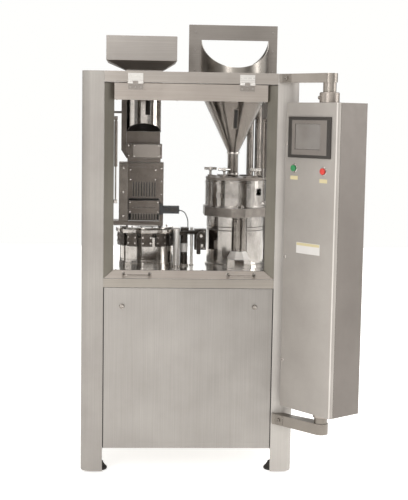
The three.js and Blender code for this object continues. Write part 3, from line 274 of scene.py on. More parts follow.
MAT = {
    # The front posts are shaded and lit copies of the post steel: painted shade on the left post, painted
    # light on the right post.
    "post_left": brushed("post_left_shaded_steel", (153, 147, 142), (165, 160, 154), "z", (0.52, 0.64), 0.5),
    "post_right": brushed("post_right_lit_steel", (178, 172, 167), (190, 185, 179), "z", (0.52, 0.64), 0.5),
    "post": brushed("post_steel", (160, 154, 149), (172, 167, 161), "z", (0.52, 0.64), 0.5),
    "sheet_z": brushed("panel_steel", (152, 147, 142), (164, 159, 154), "z"),
    "sheet_x": brushed("rail_steel", (152, 144, 137), (168, 161, 154), "x"),
    "rail": brushed("table_rail_steel", (145, 138, 130), (160, 153, 144), "x"),
    # The hatch's stiles and rails are shaded and lit copies of one steel: painted shade on the bevelled
    # stiles, painted light on the rails. The cabinet collars share the lit copy.
    "stile": brushed("hatch_stile_shaded_steel", (120, 115, 105), (134, 129, 119), "z", (0.3, 0.42)),
    "hatch_x": brushed("hatch_rail_lit_steel", (158, 149, 141), (174, 165, 157), "x", (0.3, 0.42)),
    # arm_low is a darker copy of the arm steel: painted shade on the lower arm. The root plates use it too.
    "arm": brushed("arm_steel", (150, 142, 133), (168, 160, 152), "x", (0.3, 0.42)),
    "arm_low": brushed("arm_lower_shaded_steel", (124, 117, 109), (142, 135, 127), "x", (0.3, 0.42)),
    "chute_lid": brushed("chute_lid_steel", (132, 124, 118), (146, 138, 131), "x", (0.34, 0.46), 0.8),
    # The hinge leaves are lit and shaded copies of one steel: a painted reflection on the fixed upper leaf,
    # painted shade on the moving lower leaf.
    "leaf": brushed("hinge_lit_steel", (208, 204, 199), (222, 218, 213), "x", (0.26, 0.34), 0.7, 0.04),
    "leaf_low": brushed("hinge_lower_shaded_steel", (138, 131, 125), (156, 149, 142), "x", (0.3, 0.4), 0.85),
    "table": brushed("table_steel", (206, 203, 199), (224, 221, 217), "x", (0.08, 0.18), 0.9, 0.03),
    "hopper": brushed("vessel_steel", (150, 144, 137), (172, 166, 158), "x", (0.26, 0.38), 0.95),
    "bin": brushed("bin_steel", (153, 147, 142), (167, 161, 155), "x", (0.36, 0.48), 0.8),
    "polish": polished("polished_steel", (168, 162, 156), (208, 202, 196)),
    "polish_x": polished("polished_bar", (168, 162, 156), (208, 202, 196), rings=False),
    # A darker copy of the polished bar steel, painted shade: on the handles, the locks, the front column's
    # shaft and the hopper column.
    "polish_dark": polished("polished_shaded_bar", (120, 113, 106), (158, 151, 144), rings=False),
    # A bright copy of the column steel: a painted highlight on the closing station's column and guide rod and
    # on the front column's flared shoulder.
    "highlight_bar": brushed("highlight_column_steel", (204, 199, 194), (222, 217, 212), "z", (0.26, 0.36), 0.8,
                          0.04),
    "shield": brushed("shield_steel", (137, 131, 125), (151, 145, 139), "x", (0.34, 0.46), 0.9),
    # The cone is a darker copy of the vessel steel: painted shade.
    "cone": brushed("cone_shaded_steel", (108, 101, 95), (130, 123, 116), "z", (0.16, 0.26), 1.0, 0.05),
    "cast": machined("machined_grey", (116, 108, 101), (138, 130, 122)),
    "magazine": machined("magazine_grey", (94, 86, 80), (110, 102, 95)),
    "segment": machined("segment_steel", (70, 63, 58), (96, 89, 83), (0.3, 0.42), 0.9),
    "dark_cast": machined("dark_casting", (50, 44, 40), (68, 62, 56)),
    "shadow": coated("inner_shadow", (26, 23, 21), (38, 34, 31), (0.55, 0.7), grain=500.0,
                     edge=(52, 47, 43)),
    # The chute's inside is painted shade, darker than the tube.
    "chute_inside_shade": coated("chute_inside_shade", (60, 55, 51), (80, 74, 69), (0.45, 0.6), grain=500.0,
                           edge=(92, 86, 81)),
    "slab": machined("ground_slab", (118, 111, 105), (142, 135, 128), (0.3, 0.45), 0.85),
    "cabinet": coated("cabinet_skin", (107, 100, 94), (115, 108, 102), metal=0.25),
    "door": coated("door_skin", (151, 145, 139), (161, 155, 149), metal=0.25),
    "door_edge": coated("door_edge_skin", (196, 190, 184), (208, 202, 196), metal=0.25),
    "bezel": coated("bezel_plastic", (37, 32, 27), (48, 43, 38), (0.3, 0.42), edge=(88, 84, 78)),
    "surround": coated("surround_plastic", (104, 97, 91), (114, 107, 101), (0.3, 0.42),
                       edge=(150, 146, 140)),
    "rubber": coated("foot_rubber", (30, 28, 25), (46, 43, 39), (0.6, 0.78), grain=520.0, strength=0.3,
                     edge=(70, 67, 63)),
    "green": coated("green_cap", (26, 112, 62), (40, 132, 76), (0.25, 0.36), edge=(90, 160, 115)),
    "red": coated("red_cap", (176, 40, 34), (196, 56, 46), (0.25, 0.36), edge=(214, 110, 100)),
    "black": coated("sensor_black", (28, 28, 30), (44, 44, 46), (0.4, 0.55), grain=600.0,
                    edge=(80, 80, 82)),
    "cable": coated("cable_sheath", (24, 24, 24), (38, 38, 38), (0.45, 0.6), grain=900.0,
                    edge=(60, 60, 60)),
    "label": coated("plain_label", (188, 184, 180), (202, 198, 194), (0.4, 0.5), edge=(212, 209, 205)),
    "tag": coated("plain_tag", (178, 166, 128), (196, 184, 146), (0.4, 0.5), edge=(206, 198, 170)),
    "motor": coated("motor_paint", (58, 82, 104), (74, 98, 120), (0.35, 0.5), edge=(130, 140, 150)),
    "gasket": coated("gasket_rubber", (60, 57, 53), (76, 72, 68), (0.55, 0.7), grain=700.0,
                     edge=(96, 92, 88)),
    "pane": clear("clear_pane"),
    "screen": screen_material(),
}


# ---------------------------------------------------------------- mesh helpers
def on_axis(axis, a, b, c):
    """The place with a and b across the axis and c along it."""
    return {"z": M(a, b, c), "y": M(a, c, b), "x": M(c, a, b)}[axis]


def rect(x0, x1, y0, y1):
    return [(x0, y0), (x1, y0), (x1, y1), (x0, y1)]


def around(centre, radius, degrees):
    """The point at an angle on a circle."""
    angle = math.radians(degrees)
    return centre[0] + radius * math.cos(angle), centre[1] + radius * math.sin(angle)


class Shape:
    """The closed bodies of one piece, given in the machine's millimetres."""

    def __init__(self):
        self.bm = bmesh.new()

    def bridge(self, first, second):
        """Joins two rows of vertices with a band of faces."""
        for k, vertex in enumerate(first):
            j = (k + 1) % len(first)
            self.bm.faces.new((vertex, first[j], second[j], second[k]))

    def loft(self, rows, ring=False):
        """Joins rows of places one after another. The ends are capped, or joined into a ring."""
        rows = [[self.bm.verts.new(place) for place in row] for row in rows]
        for first, second in zip(rows, rows[1:]):
            self.bridge(first, second)
        if ring:
            self.bridge(rows[-1], rows[0])
        else:
            self.bm.faces.new(rows[0])
            self.bm.faces.new(rows[-1])

    def prism(self, points, low, high, axis="z"):
        """Adds an outline, given across the axis, drawn out from low to high along it."""
        self.loft([[on_axis(axis, a, b, c) for a, b in points] for c in (low, high)])

    def box(self, x, y, z):
        self.prism(rect(*x, *y), *z)

    def frame(self, outer, inner, low, high, axis="z"):
        """Adds a frame between two outlines that have the same number of points."""
        rows = ((outer, low), (outer, high), (inner, high), (inner, low))
        self.loft([[on_axis(axis, a, b, c) for a, b in line] for line, c in rows], ring=True)

    def sheet(self, rows):
        """Joins rows of places into an open sheet."""
        rows = [[self.bm.verts.new(place) for place in row] for row in rows]
        for first, second in zip(rows, rows[1:]):
            for k in range(len(first) - 1):
                self.bm.faces.new((first[k], first[k + 1], second[k + 1], second[k]))

    def lathe(self, profile, centre, segments=72, axis="z", closed=True, start=0):
        """Adds a turned shape from (radius, height) pairs, its first facet at the start angle."""
        rows = []
        for radius, height in profile:
            row = []
            for k in range(segments if radius > 0 else 1):
                a, b = around(centre, radius, start + 360 * k / segments)
                row.append(self.bm.verts.new(on_axis(axis, a, b, height)))
            rows.append(row)
        pairs = list(zip(rows, rows[1:]))
        if closed and profile[0][0] > 0:
            pairs.append((rows[-1], rows[0]))
        for first, second in pairs:
            for k in range(segments):
                ends = (first, k), (first, k + 1), (second, k + 1), (second, k)
                corners = list(dict.fromkeys(row[i % segments % len(row)] for row, i in ends))
                if len(corners) > 2:
                    self.bm.faces.new(corners)

    def rod(self, profile, centre, segments=28, axis="z", start=0):
        """Adds a solid turned shape, whose profile starts and ends at the middle."""
        self.lathe(profile, centre, segments, axis, False, start)

    def tube(self, points, radius, sides=12):
        """Adds a round bar that follows the points."""
        places = [M(*p) for p in points]
        last = len(places) - 1
        side = (places[1] - places[0]).normalized().orthogonal()
        rows = []
        for i, place in enumerate(places):
            along = (places[min(i + 1, last)] - places[max(i - 1, 0)]).normalized()
            side = (side - along * side.dot(along)).normalized()
            other = along.cross(side)
            turns = [2 * math.pi * k / sides for k in range(sides)]
            rows.append([place + (side * math.cos(t) + other * math.sin(t)) * radius / 1000 for t in turns])
        self.loft(rows)

    def screw(self, x, y, z, radius=5.0, axis="y", out=-1.0):
        """Adds a low socket-head screw that stands out along the axis."""
        h = radius * 0.7 * out
        base = {"y": y, "z": z, "x": x}[axis]
        centre = {"y": (x, z), "z": (x, y), "x": (y, z)}[axis]
        profile = [(0, base + h * 0.45), (radius * 0.45, base + h * 0.45), (radius * 0.5, base + h),
                   (radius * 0.85, base + h), (radius, base + h * 0.8), (radius, base), (0, base)]
        self.rod(profile, centre, 18, axis)

    def screws(self, xs, y, zs, radius, out=-1.0):
        """Adds a grid of screws on an upright face."""
        for x in xs:
            for z in zs:
                self.screw(x, y, z, radius, "y", out)

    def place(self, degrees, x, y):
        """Turns what was made at the machine's zero about the upright axis, then moves it to a place."""
        turn = Matrix.Rotation(math.radians(degrees), 3, "Z")
        bmesh.ops.rotate(self.bm, verts=self.bm.verts, cent=M(0, 0, 0), matrix=turn)
        bmesh.ops.translate(self.bm, verts=self.bm.verts, vec=(x / 1000, y / 1000, 0))

    def finish(self, name, body, material, slot, stands_for=(), bevel=0.0, segments=2, smooth=35):
        """Makes the piece, rounds its edges, and lets it ride on its body."""
        bmesh.ops.remove_doubles(self.bm, verts=self.bm.verts, dist=1e-6)
        bmesh.ops.recalc_face_normals(self.bm, faces=self.bm.faces)
        mesh = bpy.data.meshes.new(name)
        self.bm.to_mesh(mesh)
        self.bm.free()
        mesh.shade_smooth()
        piece = bpy.data.objects.new(name, mesh)
        bpy.context.scene.collection.objects.link(piece)
        if bevel:
            round_edges(piece, bevel, segments, 28)
        mesh.set_sharp_from_angle(angle=math.radians(smooth))
        mesh.materials.append(MAT[material])
        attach(piece, body)
        if stands_for:
            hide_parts(*stands_for)
        return piece


def round_edges(piece, bevel, segments, turn):
    """Rounds the edges where the surface turns by more than the given degrees."""
    rounding = piece.modifiers.new("rounding", "BEVEL")
    rounding.width = bevel / 1000
    rounding.segments = segments
    rounding.limit_method = "ANGLE"
    rounding.angle_limit = math.radians(turn)
    rounding.harden_normals = True


def refine(node, material, bevel=0.6, smooth=30):
    """A CAD node whose shape is right gets its finish, smooth round faces and rounded edges."""
    piece = nodes[node]
    piece.data.materials.clear()
    piece.data.materials.append(MAT[material])
    piece.data.shade_smooth()
    piece.data.set_sharp_from_angle(angle=math.radians(smooth))
    if bevel:
        flatten = piece.modifiers.new("flat_faces", "DECIMATE")
        flatten.decimate_type = "DISSOLVE"
        flatten.angle_limit = math.radians(0.6)
        flatten.delimit = {"SHARP", "MATERIAL"}
        round_edges(piece, bevel, 2, 40)
    return piece


def paint(piece, others, choose):
    """Adds further materials. choose says which one a face gets, from its middle in millimetres."""
    for material in others:
        piece.data.materials.append(MAT[material])
    for face in piece.data.polygons:
        face.material_index = choose((face.center - M(0, 0, 0)) * 1000, face.normal)


def curve(t, p, q, r, s):
    """A Catmull-Rom curve's value between q and r, with p before them and s after."""
    square = (2 * p - 5 * q + 4 * r - s) * t * t
    cube = (3 * q - p - 3 * r + s) * t ** 3
    return 0.5 * (2 * q + (r - p) * t + square + cube)


def smooth_path(points, steps=8):
    """Catmull-Rom points through the given ones."""
    out = []
    padded = [points[0], *points, points[-1]]
    for span in zip(padded, padded[1:], padded[2:], padded[3:]):
        for k in range(steps):
            out.append(tuple(curve(k / steps, *values) for values in zip(*span)))
    out.append(points[-1])
    return out


def mirrored(half, x):
    """A handle's route from the points of its left half, given from its middle at x."""
    return [(x + a, b, c) for a, b, c in half] + [(x - a, b, c) for a, b, c in reversed(half)]


# ---------------------------------------------------------------- frame sheet metal
POST_WIDTH, POST_RADIUS, POST_WALL = 96, 50, 4


def corner_arc(radius, steps=15):
    """The outside corner, from the front face round to the side, a quarter turn about (50, 50)."""
    return [around((POST_RADIUS, POST_RADIUS), radius, 270 - 90 * k / steps) for k in range(steps + 1)]


def post_outline():
    """The channel's plan at the left front corner: outer arc, two flanges and the inner arc."""
    inner = reversed(corner_arc(POST_RADIUS - POST_WALL))
    flange = [(0, POST_WIDTH), (POST_WALL, POST_WIDTH)]
    return [(POST_WIDTH, 0), *corner_arc(POST_RADIUS), *flange, *inner, (POST_WIDTH, POST_WALL)]


def cap_outline():
    return [(96, 4.2), *corner_arc(45.8), (4.2, 96), (96, 96)]


def make_posts():
    corners = [
        # The front posts take the shaded and lit copies of the post steel: painted shade on the left, painted
        # light on the right.
        ("front_left", -FRAME_HALF, 0, 0, -1, "post_left"),
        ("front_right", FRAME_HALF, 0, 90, 1, "post_right"),
        ("rear_right", FRAME_HALF, FRAME_DEPTH, 180, 0, "post"),
        ("rear_left", -FRAME_HALF, FRAME_DEPTH, -90, 0, "post"),
    ]
    for label, x, y, turn, lug, finish in corners:
        part = Shape()
        part.prism(post_outline(), 8, 1747)
        part.prism(cap_outline(), 1744, 1746.6)
        part.place(turn, x, y)
        if lug:
            part.box(sorted((lug * 370, lug * 380)), (3.9, 64), STRUT_FOOT_Z)
            part.box(sorted((lug * 380, lug * 327.3)), (48, 64), STRUT_FOOT_Z)
        part.finish("post_" + label, "frame", finish, "frame_steel", ["corner_post_" + label], 0.9, 3)


def make_feet():
    rubber = [(0, 0), (37.5, 0), (39.4, 1.2), (40, 3), (40, 8.5), (38.6, 11), (35, 13.6), (30, 19.5),
              (25.6, 26), (23.4, 30), (22.4, 33.6), (21, 35.2), (18, 36), (0, 36)]
    for row, y in (("front", 75), ("rear", 755)):
        for side, x in (("left", -389), ("right", 389)):
            part = Shape()
            part.rod(rubber, (x, y), 56)
            node = f"levelling_foot_{row}_{side}"
            part.finish(f"foot_{row}_{side}", "frame", "rubber", "foot_rubber", [node], 0.5)
            part = Shape()
            part.rod([(0, 35.5), (9, 35.5), (9, 111.5), (0, 111.5)], (x, y))
            part.prism([around((x, y), 15, 60 * k) for k in range(6)], 88, 100)
            part.finish(f"foot_stud_{row}_{side}", "frame", "polish_x", "polished_steel", (), 0.6)


def folded_sheet(half, low, high, y0, depth, fold=1.6):
    """A tray of folded sheet whose edges turn back into the machine."""
    part = Shape()
    right = [(half - 1.2, y0), (half - 0.35, y0 + 0.35), (half, y0 + 1.2), (half, y0 + depth),
             (half - fold, y0 + depth), (half - fold, y0 + fold)]
    part.prism([*right, *[(-x, y) for x, y in reversed(right)]], low + 0.8, high - 0.8)
    inside = half - fold - 0.05
    for edge in (low, high - fold):
        part.prism(rect(-inside, inside, y0 + 0.9, y0 + depth), edge, edge + fold)
    return part


def make_panels():
    sheet = folded_sheet(365.2, BASE_LEVEL, 820.6, 2, 18)
    sheet.finish("front_sheet", "frame", "sheet_z", "frame_steel", ["front_panel"], 0.7, 3)
    # Dark strips in the gaps between the front sheet and the posts and above the sheet: painted shade.
    gap_shade = Shape()
    for side in (-1, 1):
        gap_shade.box(sorted((side * 365.4, side * 368.8)), (3.2, 14), (113, 822))
    gap_shade.box((-365.3, 365.3), (3.2, 14), (820.8, 822.3))
    gap_shade.finish("front_sheet_gap_shade", "frame", "shadow", "frame_steel", (), 0.2)
    for label, turn, x in (("left", -90, -463), ("right", 90, 463)):
        sheet = folded_sheet(317, BASE_LEVEL, 822.4, 0, 18)
        sheet.place(turn, x, FRAME_DEPTH / 2)
        sheet.finish(label + "_sheet", "frame", "sheet_z", "frame_steel", [label + "_panel"], 0.7, 3)
    refine("rear_panel", "sheet_z", 0.5)


def make_tray_and_table():
    tray = Shape()
    outline = rect(-440, 440, 26, 804)
    tray.frame(outline, rect(-408, 408, 58, 772), BASE_LEVEL, TRAY_TOP)
    tray.prism(outline, BASE_LEVEL, 118)
    tray.finish("base_tray_folded", "frame", "post", "frame_steel", ["base_tray"], 1.5, 3)
    table = refine("work_table", "table", 0.9)
    paint(table, ["rail"], lambda middle, normal: 0 if middle.z > 860.5 else 1)
    refine("top_frame", "sheet_x", 0.9)


def make_locks():
    for side, x in (("left", -288), ("right", 288)):
        part = Shape()
        head = [(0, 1.6), (11, 1.6), (11, -2.6), (9.8, -4.4), (7.4, -5), (6.2, -4.2), (0, -4.2)]
        part.rod(head, (x, 741), 48, "y")
        part.prism(rect(x - 7, x + 7, 739.2, 742.8), -4.9, -4.0, "y")
        part.rod([(0, 1.2), (5.5, 1.2), (5.5, 14), (0, 14)], (x, 741), 24, "y")
        part.prism(rect(x - 7, x + 7, 734, 775), 9, 12, "y")
        node = f"panel_lock_{side}"
        part.finish(f"quarter_lock_{side}", f"lock_{side}", "polish_dark", "polished_steel", [node], 0.4)


# ---------------------------------------------------------------- hatch
HATCH_HALF, HATCH_OPENING = 368.4, 327.4
HATCH_BOTTOM, HATCH_TOP = 862.2, 1696.8
HANDLE_X = 226
STRUT_X, STRUT_Y = 320, 56
STRUT_FOOT_Z = (1181, 1199)
STRUT_HEAD_Z = (1539, 1557)


def make_hatch_stiles():
    """The two uprights, mitred at the foot towards the opening."""
    for label, s in (("left", -1), ("right", 1)):
        part = Shape()
        plan = [(s * HATCH_HALF, 0.2, HATCH_BOTTOM), (s * HATCH_HALF, 30, HATCH_BOTTOM),
                (s * HATCH_OPENING, 30, 896), (s * HATCH_OPENING, 24, 896)]
        part.loft([[M(*p) for p in plan], [M(x, y, HATCH_TOP) for x, y, _ in plan]])
        # The stiles get the shaded copy of the hatch steel: painted shade.
        part.finish(f"hatch_stile_{label}", "hatch", "stile", "frame_steel", (), 1.2, 3)


def make_hatch_rails():
    """The bevelled bottom rail and the header, which stands for the hatch's welded frame."""
    part = Shape()
    ends = []
    for s in (-1, 1):
        out = s * (HATCH_HALF - 0.25)
        end = [(out, 0.2, HATCH_BOTTOM), (out, 30, HATCH_BOTTOM), (s * HATCH_OPENING, 30, 895.8),
               (s * HATCH_OPENING, 24, 895.8)]
        ends.append([M(*p) for p in end])
    part.loft(ends)
    part.finish("hatch_bottom_rail", "hatch", "hatch_x", "frame_steel", (), 1.2, 3)
    part = Shape()
    part.prism(rect(-327, 327, 2, 30), 1626, HATCH_TOP)
    part.finish("hatch_header", "hatch", "hatch_x", "frame_steel", ["hatch_frame"], 1.4, 3)


def make_hatch():
    make_hatch_stiles()
    make_hatch_rails()
    part = Shape()
    part.frame(rect(-333.2, 333.2, 890.4, 1631.6), rect(-327.2, 327.2, 896.2, 1626.2), 26, 30.2, "y")
    part.finish("hatch_gasket", "hatch", "gasket", "foot_rubber", (), 0.5)
    part = Shape()
    for s in (-1, 1):
        part.box(sorted((s * 358.4, s * 335.4)), (29, 62), STRUT_HEAD_Z)
        part.box(sorted((s * 358.4, s * 327.3)), (50, 62), STRUT_HEAD_Z)
    part.finish("hatch_strut_lugs", "hatch", "polish_x", "frame_steel", (), 0.8)
    part = Shape()
    part.prism(rect(-333, 333, 890.5, 1631.5), 30.5, 34.3, "y")
    part.finish("hatch_clear_pane", "hatch", "pane", "clear_pane", ["hatch_pane"], 0.5)
    part = Shape()
    part.screws((-317, -180, -60, 60, 180, 317), 34.3, (895, 1627), 3.4, 1.0)
    part.finish("hatch_pane_screws", "hatch", "polish_x", "polished_steel", (), 0.2)


def make_hinges():
    axis = (-6, 1698.5)
    upper, lower = axis[1] + 6.5, axis[1] - 6.5
    for label, s in (("left", -1), ("right", 1)):
        middle = s * 237.5
        left, right = middle - 32, middle + 32
        holes = (middle - 22, middle, middle + 22)
        part = Shape()
        part.prism(rect(left, right, upper, 1739), -3.2, -0.4, "y")
        for a, b in ((left, middle - 10.9), (middle + 10.9, right)):
            knuckle = [(0, a), (4.9, a), (5.5, a + 0.6), (5.5, b - 0.6), (4.9, b), (0, b)]
            part.rod(knuckle, axis, 32, "x")
            part.box((a, b), (-7, -0.4), (axis[1] + 2, axis[1] + 8))
        part.screws(holes, -3.2, (1726,), 4.2)
        for x in (left - 2, right):
            part.rod([(0, x), (2.6, x), (2.6, x + 2), (0, x + 2)], axis, 20, "x")
        node = f"hatch_hinge_{label}"
        part.finish(f"hinge_fixed_leaf_{label}", "frame", "leaf", "polished_steel", [node], 0.4)
        part = Shape()
        part.prism(rect(left, right, axis[1] - 30, lower), -3, 1.9, "y")
        a, b = middle - 10.1, middle + 10.1
        part.lathe([(3, a), (5.5, a), (5.5, b), (3, b)], axis, 32, "x")
        part.box((a, b), (-7.4, -2.9), (axis[1] - 8, axis[1] - 3.2))
        part.screws(holes, -3, (1679.5,), 4.2)
        part.finish(f"hinge_moving_leaf_{label}", "hatch", "leaf_low", "frame_steel", (), 0.4)


def make_handles():
    half = [(-58, 11.5, 884), (-57, 0, 883), (-54, -14, 881), (-50, -21.5, 879.8), (-43, -25, 879),
            (-20, -25, 879)]
    washer = [(0, 9.4), (7.5, 9.4), (7.5, 12.5), (6.6, 13.2), (0, 13.2)]
    for label, x in (("left", -HANDLE_X), ("right", HANDLE_X)):
        part = Shape()
        part.tube(smooth_path(mirrored(half, x), 6), 4.0, 16)
        for end in (-58, 58):
            part.rod(washer, (x + end, 884), 28, "y")
        node = f"hatch_handle_{label}"
        part.finish(f"handle_bar_{label}", "hatch", "polish_dark", "polished_steel", [node], 0.3)


def strut_eye(part, x, z):
    """The cross barrel at a strut's end, which its pin goes through."""
    eye = [(0, x - 7), (7.4, x - 7), (8, x - 6.2), (8, x + 6.2), (7.4, x + 7), (0, x + 7)]
    part.rod(eye, (STRUT_Y, z), 32, "x")


def make_struts():
    for label, x in (("left", -STRUT_X), ("right", STRUT_X)):
        part = Shape()
        cylinder = [(3.8, 1340), (6.2, 1340), (7, 1342), (7, 1532), (6.2, 1536), (5, 1537.5), (5, 1541),
                    (0, 1541), (0, 1500), (3.8, 1500)]
        part.lathe(cylinder, (x, STRUT_Y), 40)
        strut_eye(part, x, 1548)
        node = f"gas_strut_cylinder_{label}"
        part.finish(f"strut_tube_{label}", f"strut_cylinder_{label}", "cast", "cast_grey", [node], 0.3)
        part = Shape()
        part.rod([(0, 1190), (3.3, 1190), (3.3, 1491), (0, 1491)], (x, STRUT_Y))
        strut_eye(part, x, 1190)
        node = f"gas_strut_rod_{label}"
        name, body = f"strut_piston_rod_{label}", f"strut_rod_{label}"
        part.finish(name, body, "polish_x", "polished_steel", [node], 0.3)


def make_windows():
    for node in ("left_window", "right_window", "rear_window"):
        refine(node, "pane", 0)


# ---------------------------------------------------------------- cabinet on its swing arms
# The cabinet is made about its swivel axis, with its front towards the viewer, and then turned in place.
AXIS = (563.0, -170.0)
CABINET_TURN = -53.7
ARM_FACE_TURN = -48.0
ARM_ROOT = (385, -20)
BOSS_RADIUS = 32
CAB_LEFT, CAB_RIGHT = -204, 100
CAB_FRONT, CAB_REAR = -50, 125
DOOR_DEPTH = 18
DOOR_EDGE = 8


def make_arms():
    upper_pin = [(0, 1640), (14, 1640), (14, 1668), (26.6, 1668), (27.5, 1669), (27.5, 1708.2),
                 (0, 1708.2)]
    lower_pin = [(0, 272.8), (28, 272.8), (28, 297), (27, 298), (14, 298), (14, 308), (0, 308)]
    along = math.degrees(math.atan2(AXIS[1] + 20, AXIS[0] - 400))
    plan = [(373, -0.4), (373, -12), ARM_ROOT]
    plan += [around(AXIS, BOSS_RADIUS, along - 90 + 7.5 * k) for k in range(25)]
    plan += [(452, -28), (430, -0.4)]
    for label, low, high, screw_level, pin, material in (
        ("upper", 1708, 1746, 1727, upper_pin, "arm"),
        ("lower", 226, 273, 250, lower_pin, "arm_low"),
    ):
        part = Shape()
        part.prism(plan, low, high)
        part.rod(pin, AXIS, 56)
        part.finish("arm_" + label, "frame", material, "frame_steel", ["swing_arm_" + label], 1.6, 3)
        part = Shape()
        part.box((-1, 46), (-2.4, 0.4), (low + 1.5, high - 1.5))
        part.screw(22, -2.4, screw_level, 9)
        part.place(ARM_FACE_TURN, *ARM_ROOT)
        part.finish(f"arm_{label}_root_plate", "frame", "arm_low", "frame_steel", (), 0.5)


def on_cabinet(part, name, *looks):
    """Turns a piece made about the swivel axis to the cabinet's own angle, and finishes it."""
    part.place(CABINET_TURN, *AXIS)
    return part.finish(name, *looks)


def make_cabinet_shell():
    """The folded shell: left side, back and right side in one bend, with a lip round the mouth."""
    x0, x1, y0, y1 = CAB_LEFT, CAB_RIGHT, CAB_FRONT + 19, CAB_REAR
    part = Shape()
    plan = [(x0 + 20, y0), (x0 + 1, y0), (x0, y0 + 1), (x0, y1 - 2), (x0 + 2, y1), (x1 - 2, y1), (x1, y1 - 2),
            (x1, y0 + 1), (x1 - 1, y0), (x1 - 20, y0), (x1 - 20, y0 + 2), (x1 - 3, y0 + 2), (x1 - 3, y1 - 3),
            (x0 + 3, y1 - 3), (x0 + 3, y0 + 2), (x0 + 20, y0 + 2)]
    part.prism(plan, 315.5, 1624.5)
    for z in ((315, 318), (1622, 1625)):
        part.box((x0 + 0.3, x1 - 0.3), (y0 + 0.3, y1 - 0.3), z)
    for z in ((318, 335), (1605, 1622)):
        part.box((x0 + 3, x1 - 3), (y0 + 0.3, y0 + 2), z)
    on_cabinet(part, "cabinet_body", "cabinet", "cabinet", "cabinet_steel", ["control_cabinet"], 0.9, 3)


def make_cabinet_collars():
    """The two swivel collars, and the clamping screw with its round knob on the upper one."""
    part = Shape()
    upper = [(14.6, 1625.3), (40.8, 1625.3), (41.5, 1626), (41.5, 1664), (39, 1667), (37, 1667.6),
             (14.6, 1667.6)]
    part.lathe(upper, (0, 0), 64)
    part.lathe([(14.6, 299), (33, 299), (34, 300), (34, 314.7), (14.6, 314.7)], (0, 0), 56)
    part.rod([(0, -53), (3.4, -53), (3.4, -40), (0, -40)], (0, 1646), 20, "x")
    part.rod([(0, -62), (6.5, -62), (8, -60.6), (8, -52), (6.8, -50), (0, -50)], (0, 1646), 28, "x")
    on_cabinet(part, "cabinet_collars", "cabinet", "hatch_x", "cabinet_steel", (), 0.5)


def make_cabinet_louvres():
    """Nine louvres in the cabinet's back, kept inside its outline."""
    part = Shape()
    for k in range(9):
        z = 1440 + k * 16
        part.box((CAB_LEFT + 70, CAB_RIGHT - 70), (CAB_REAR - 4.4, CAB_REAR - 0.05), (z, z + 3))
    on_cabinet(part, "cabinet_vent_slots", "cabinet", "gasket", "foot_rubber", (), 0.4)


def make_door_skin():
    """The door's folded skin with its stiffeners. The fold along its right edge catches the light."""
    x0, x1, d0, d1 = CAB_LEFT, CAB_RIGHT, CAB_FRONT, CAB_FRONT + DOOR_DEPTH
    part = Shape()
    plan = [(x0 + 1.6, d0), (x1 - DOOR_EDGE, d0), (x1 - 1.6, d0), (x1 - 0.5, d0 + 0.5), (x1, d0 + 1.6),
            (x1, d1), (x1 - 2, d1), (x1 - 2, d0 + 2), (x0 + 2, d0 + 2), (x0 + 2, d1), (x0, d1),
            (x0, d0 + 1.6), (x0 + 0.5, d0 + 0.5)]
    part.prism(plan, 315.2, 1624.8)
    for z in (315.2, 1622.8):
        part.box((x0 + 2, x1 - 2), (d0 + 0.7, d1), (z, z + 2))
    for x in (x0 + 70, x1 - 70):
        part.box((x - 12, x + 12), (d0 + 1.9, d0 + 12), (345, 1380))
    skin = on_cabinet(part, "door_skin", "door", "door", "door_steel", ["cabinet_door"], 0.8, 3)
    back = Matrix.Rotation(math.radians(-CABINET_TURN), 3, "Z")

    def on_edge(middle, normal):
        local = back @ (middle - Vector((*AXIS, 0)))
        return 1 if local.y < d0 + 1 and local.x > x1 - DOOR_EDGE else 0

    paint(skin, ["door_edge"], on_edge)


def make_screen(d0):
    part = Shape()
    part.frame(rect(-184, 67, 1395, 1566), rect(-141, 6, 1431, 1536), d0 - 6, d0 - 0.3, "y")
    part.prism(rect(-170, 53, 1409, 1552), d0 - 0.2, d0 + 38, "y")
    on_cabinet(part, "screen_bezel", "door", "bezel", "screen_plastic", ["touch_screen"], 1.6, 3)
    part = Shape()
    part.prism(rect(-141.2, 6.2, 1430.8, 1536.2), d0 - 4, d0 - 1, "y")
    on_cabinet(part, "screen_face", "door", "screen", "screen_plastic", (), 0.3)
    part = Shape()
    part.frame(rect(-160, 45, 1408, 1552), rect(-142, 7, 1430, 1537), d0 - 6.6, d0 - 5.8, "y")
    on_cabinet(part, "screen_surround", "door", "surround", "screen_plastic", (), 0.3)


def make_button(label, x, z, colour, d0):
    """A push button's cap and stem, the ring it presses into, and a blank label below."""
    cap = [(0, d0 + 22), (10.4, d0 + 22), (10.4, d0 - 3.8), (12.6, d0 - 3.8), (13.4, d0 - 5), (13.6, d0 - 9),
           (12.4, d0 - 11.2), (9.5, d0 - 11.8), (0, d0 - 11.4)]
    ring = [(14.2, d0 - 0.05), (18.5, d0 - 0.05), (18.5, d0 - 1.6), (17, d0 - 3.2), (14.8, d0 - 3.4),
            (14.2, d0 - 3)]
    name = f"{label}_button_cap"
    part = Shape()
    part.rod(cap, (x, z), 48, "y")
    on_cabinet(part, name, name, colour, f"{colour}_plastic", [f"{label}_button"], 0.5)
    part = Shape()
    part.lathe(ring, (x, z), 56, "y")
    on_cabinet(part, f"{label}_button_ring", "door", "polish_x", "door_steel", (), 0.3)
    part = Shape()
    part.prism(rect(x - 22, x + 22, z - 48, z - 32), d0 - 0.9, d0 - 0.02, "y")
    on_cabinet(part, f"{label}_blank_label", "door", "tag", "door_steel", (), 0.2)


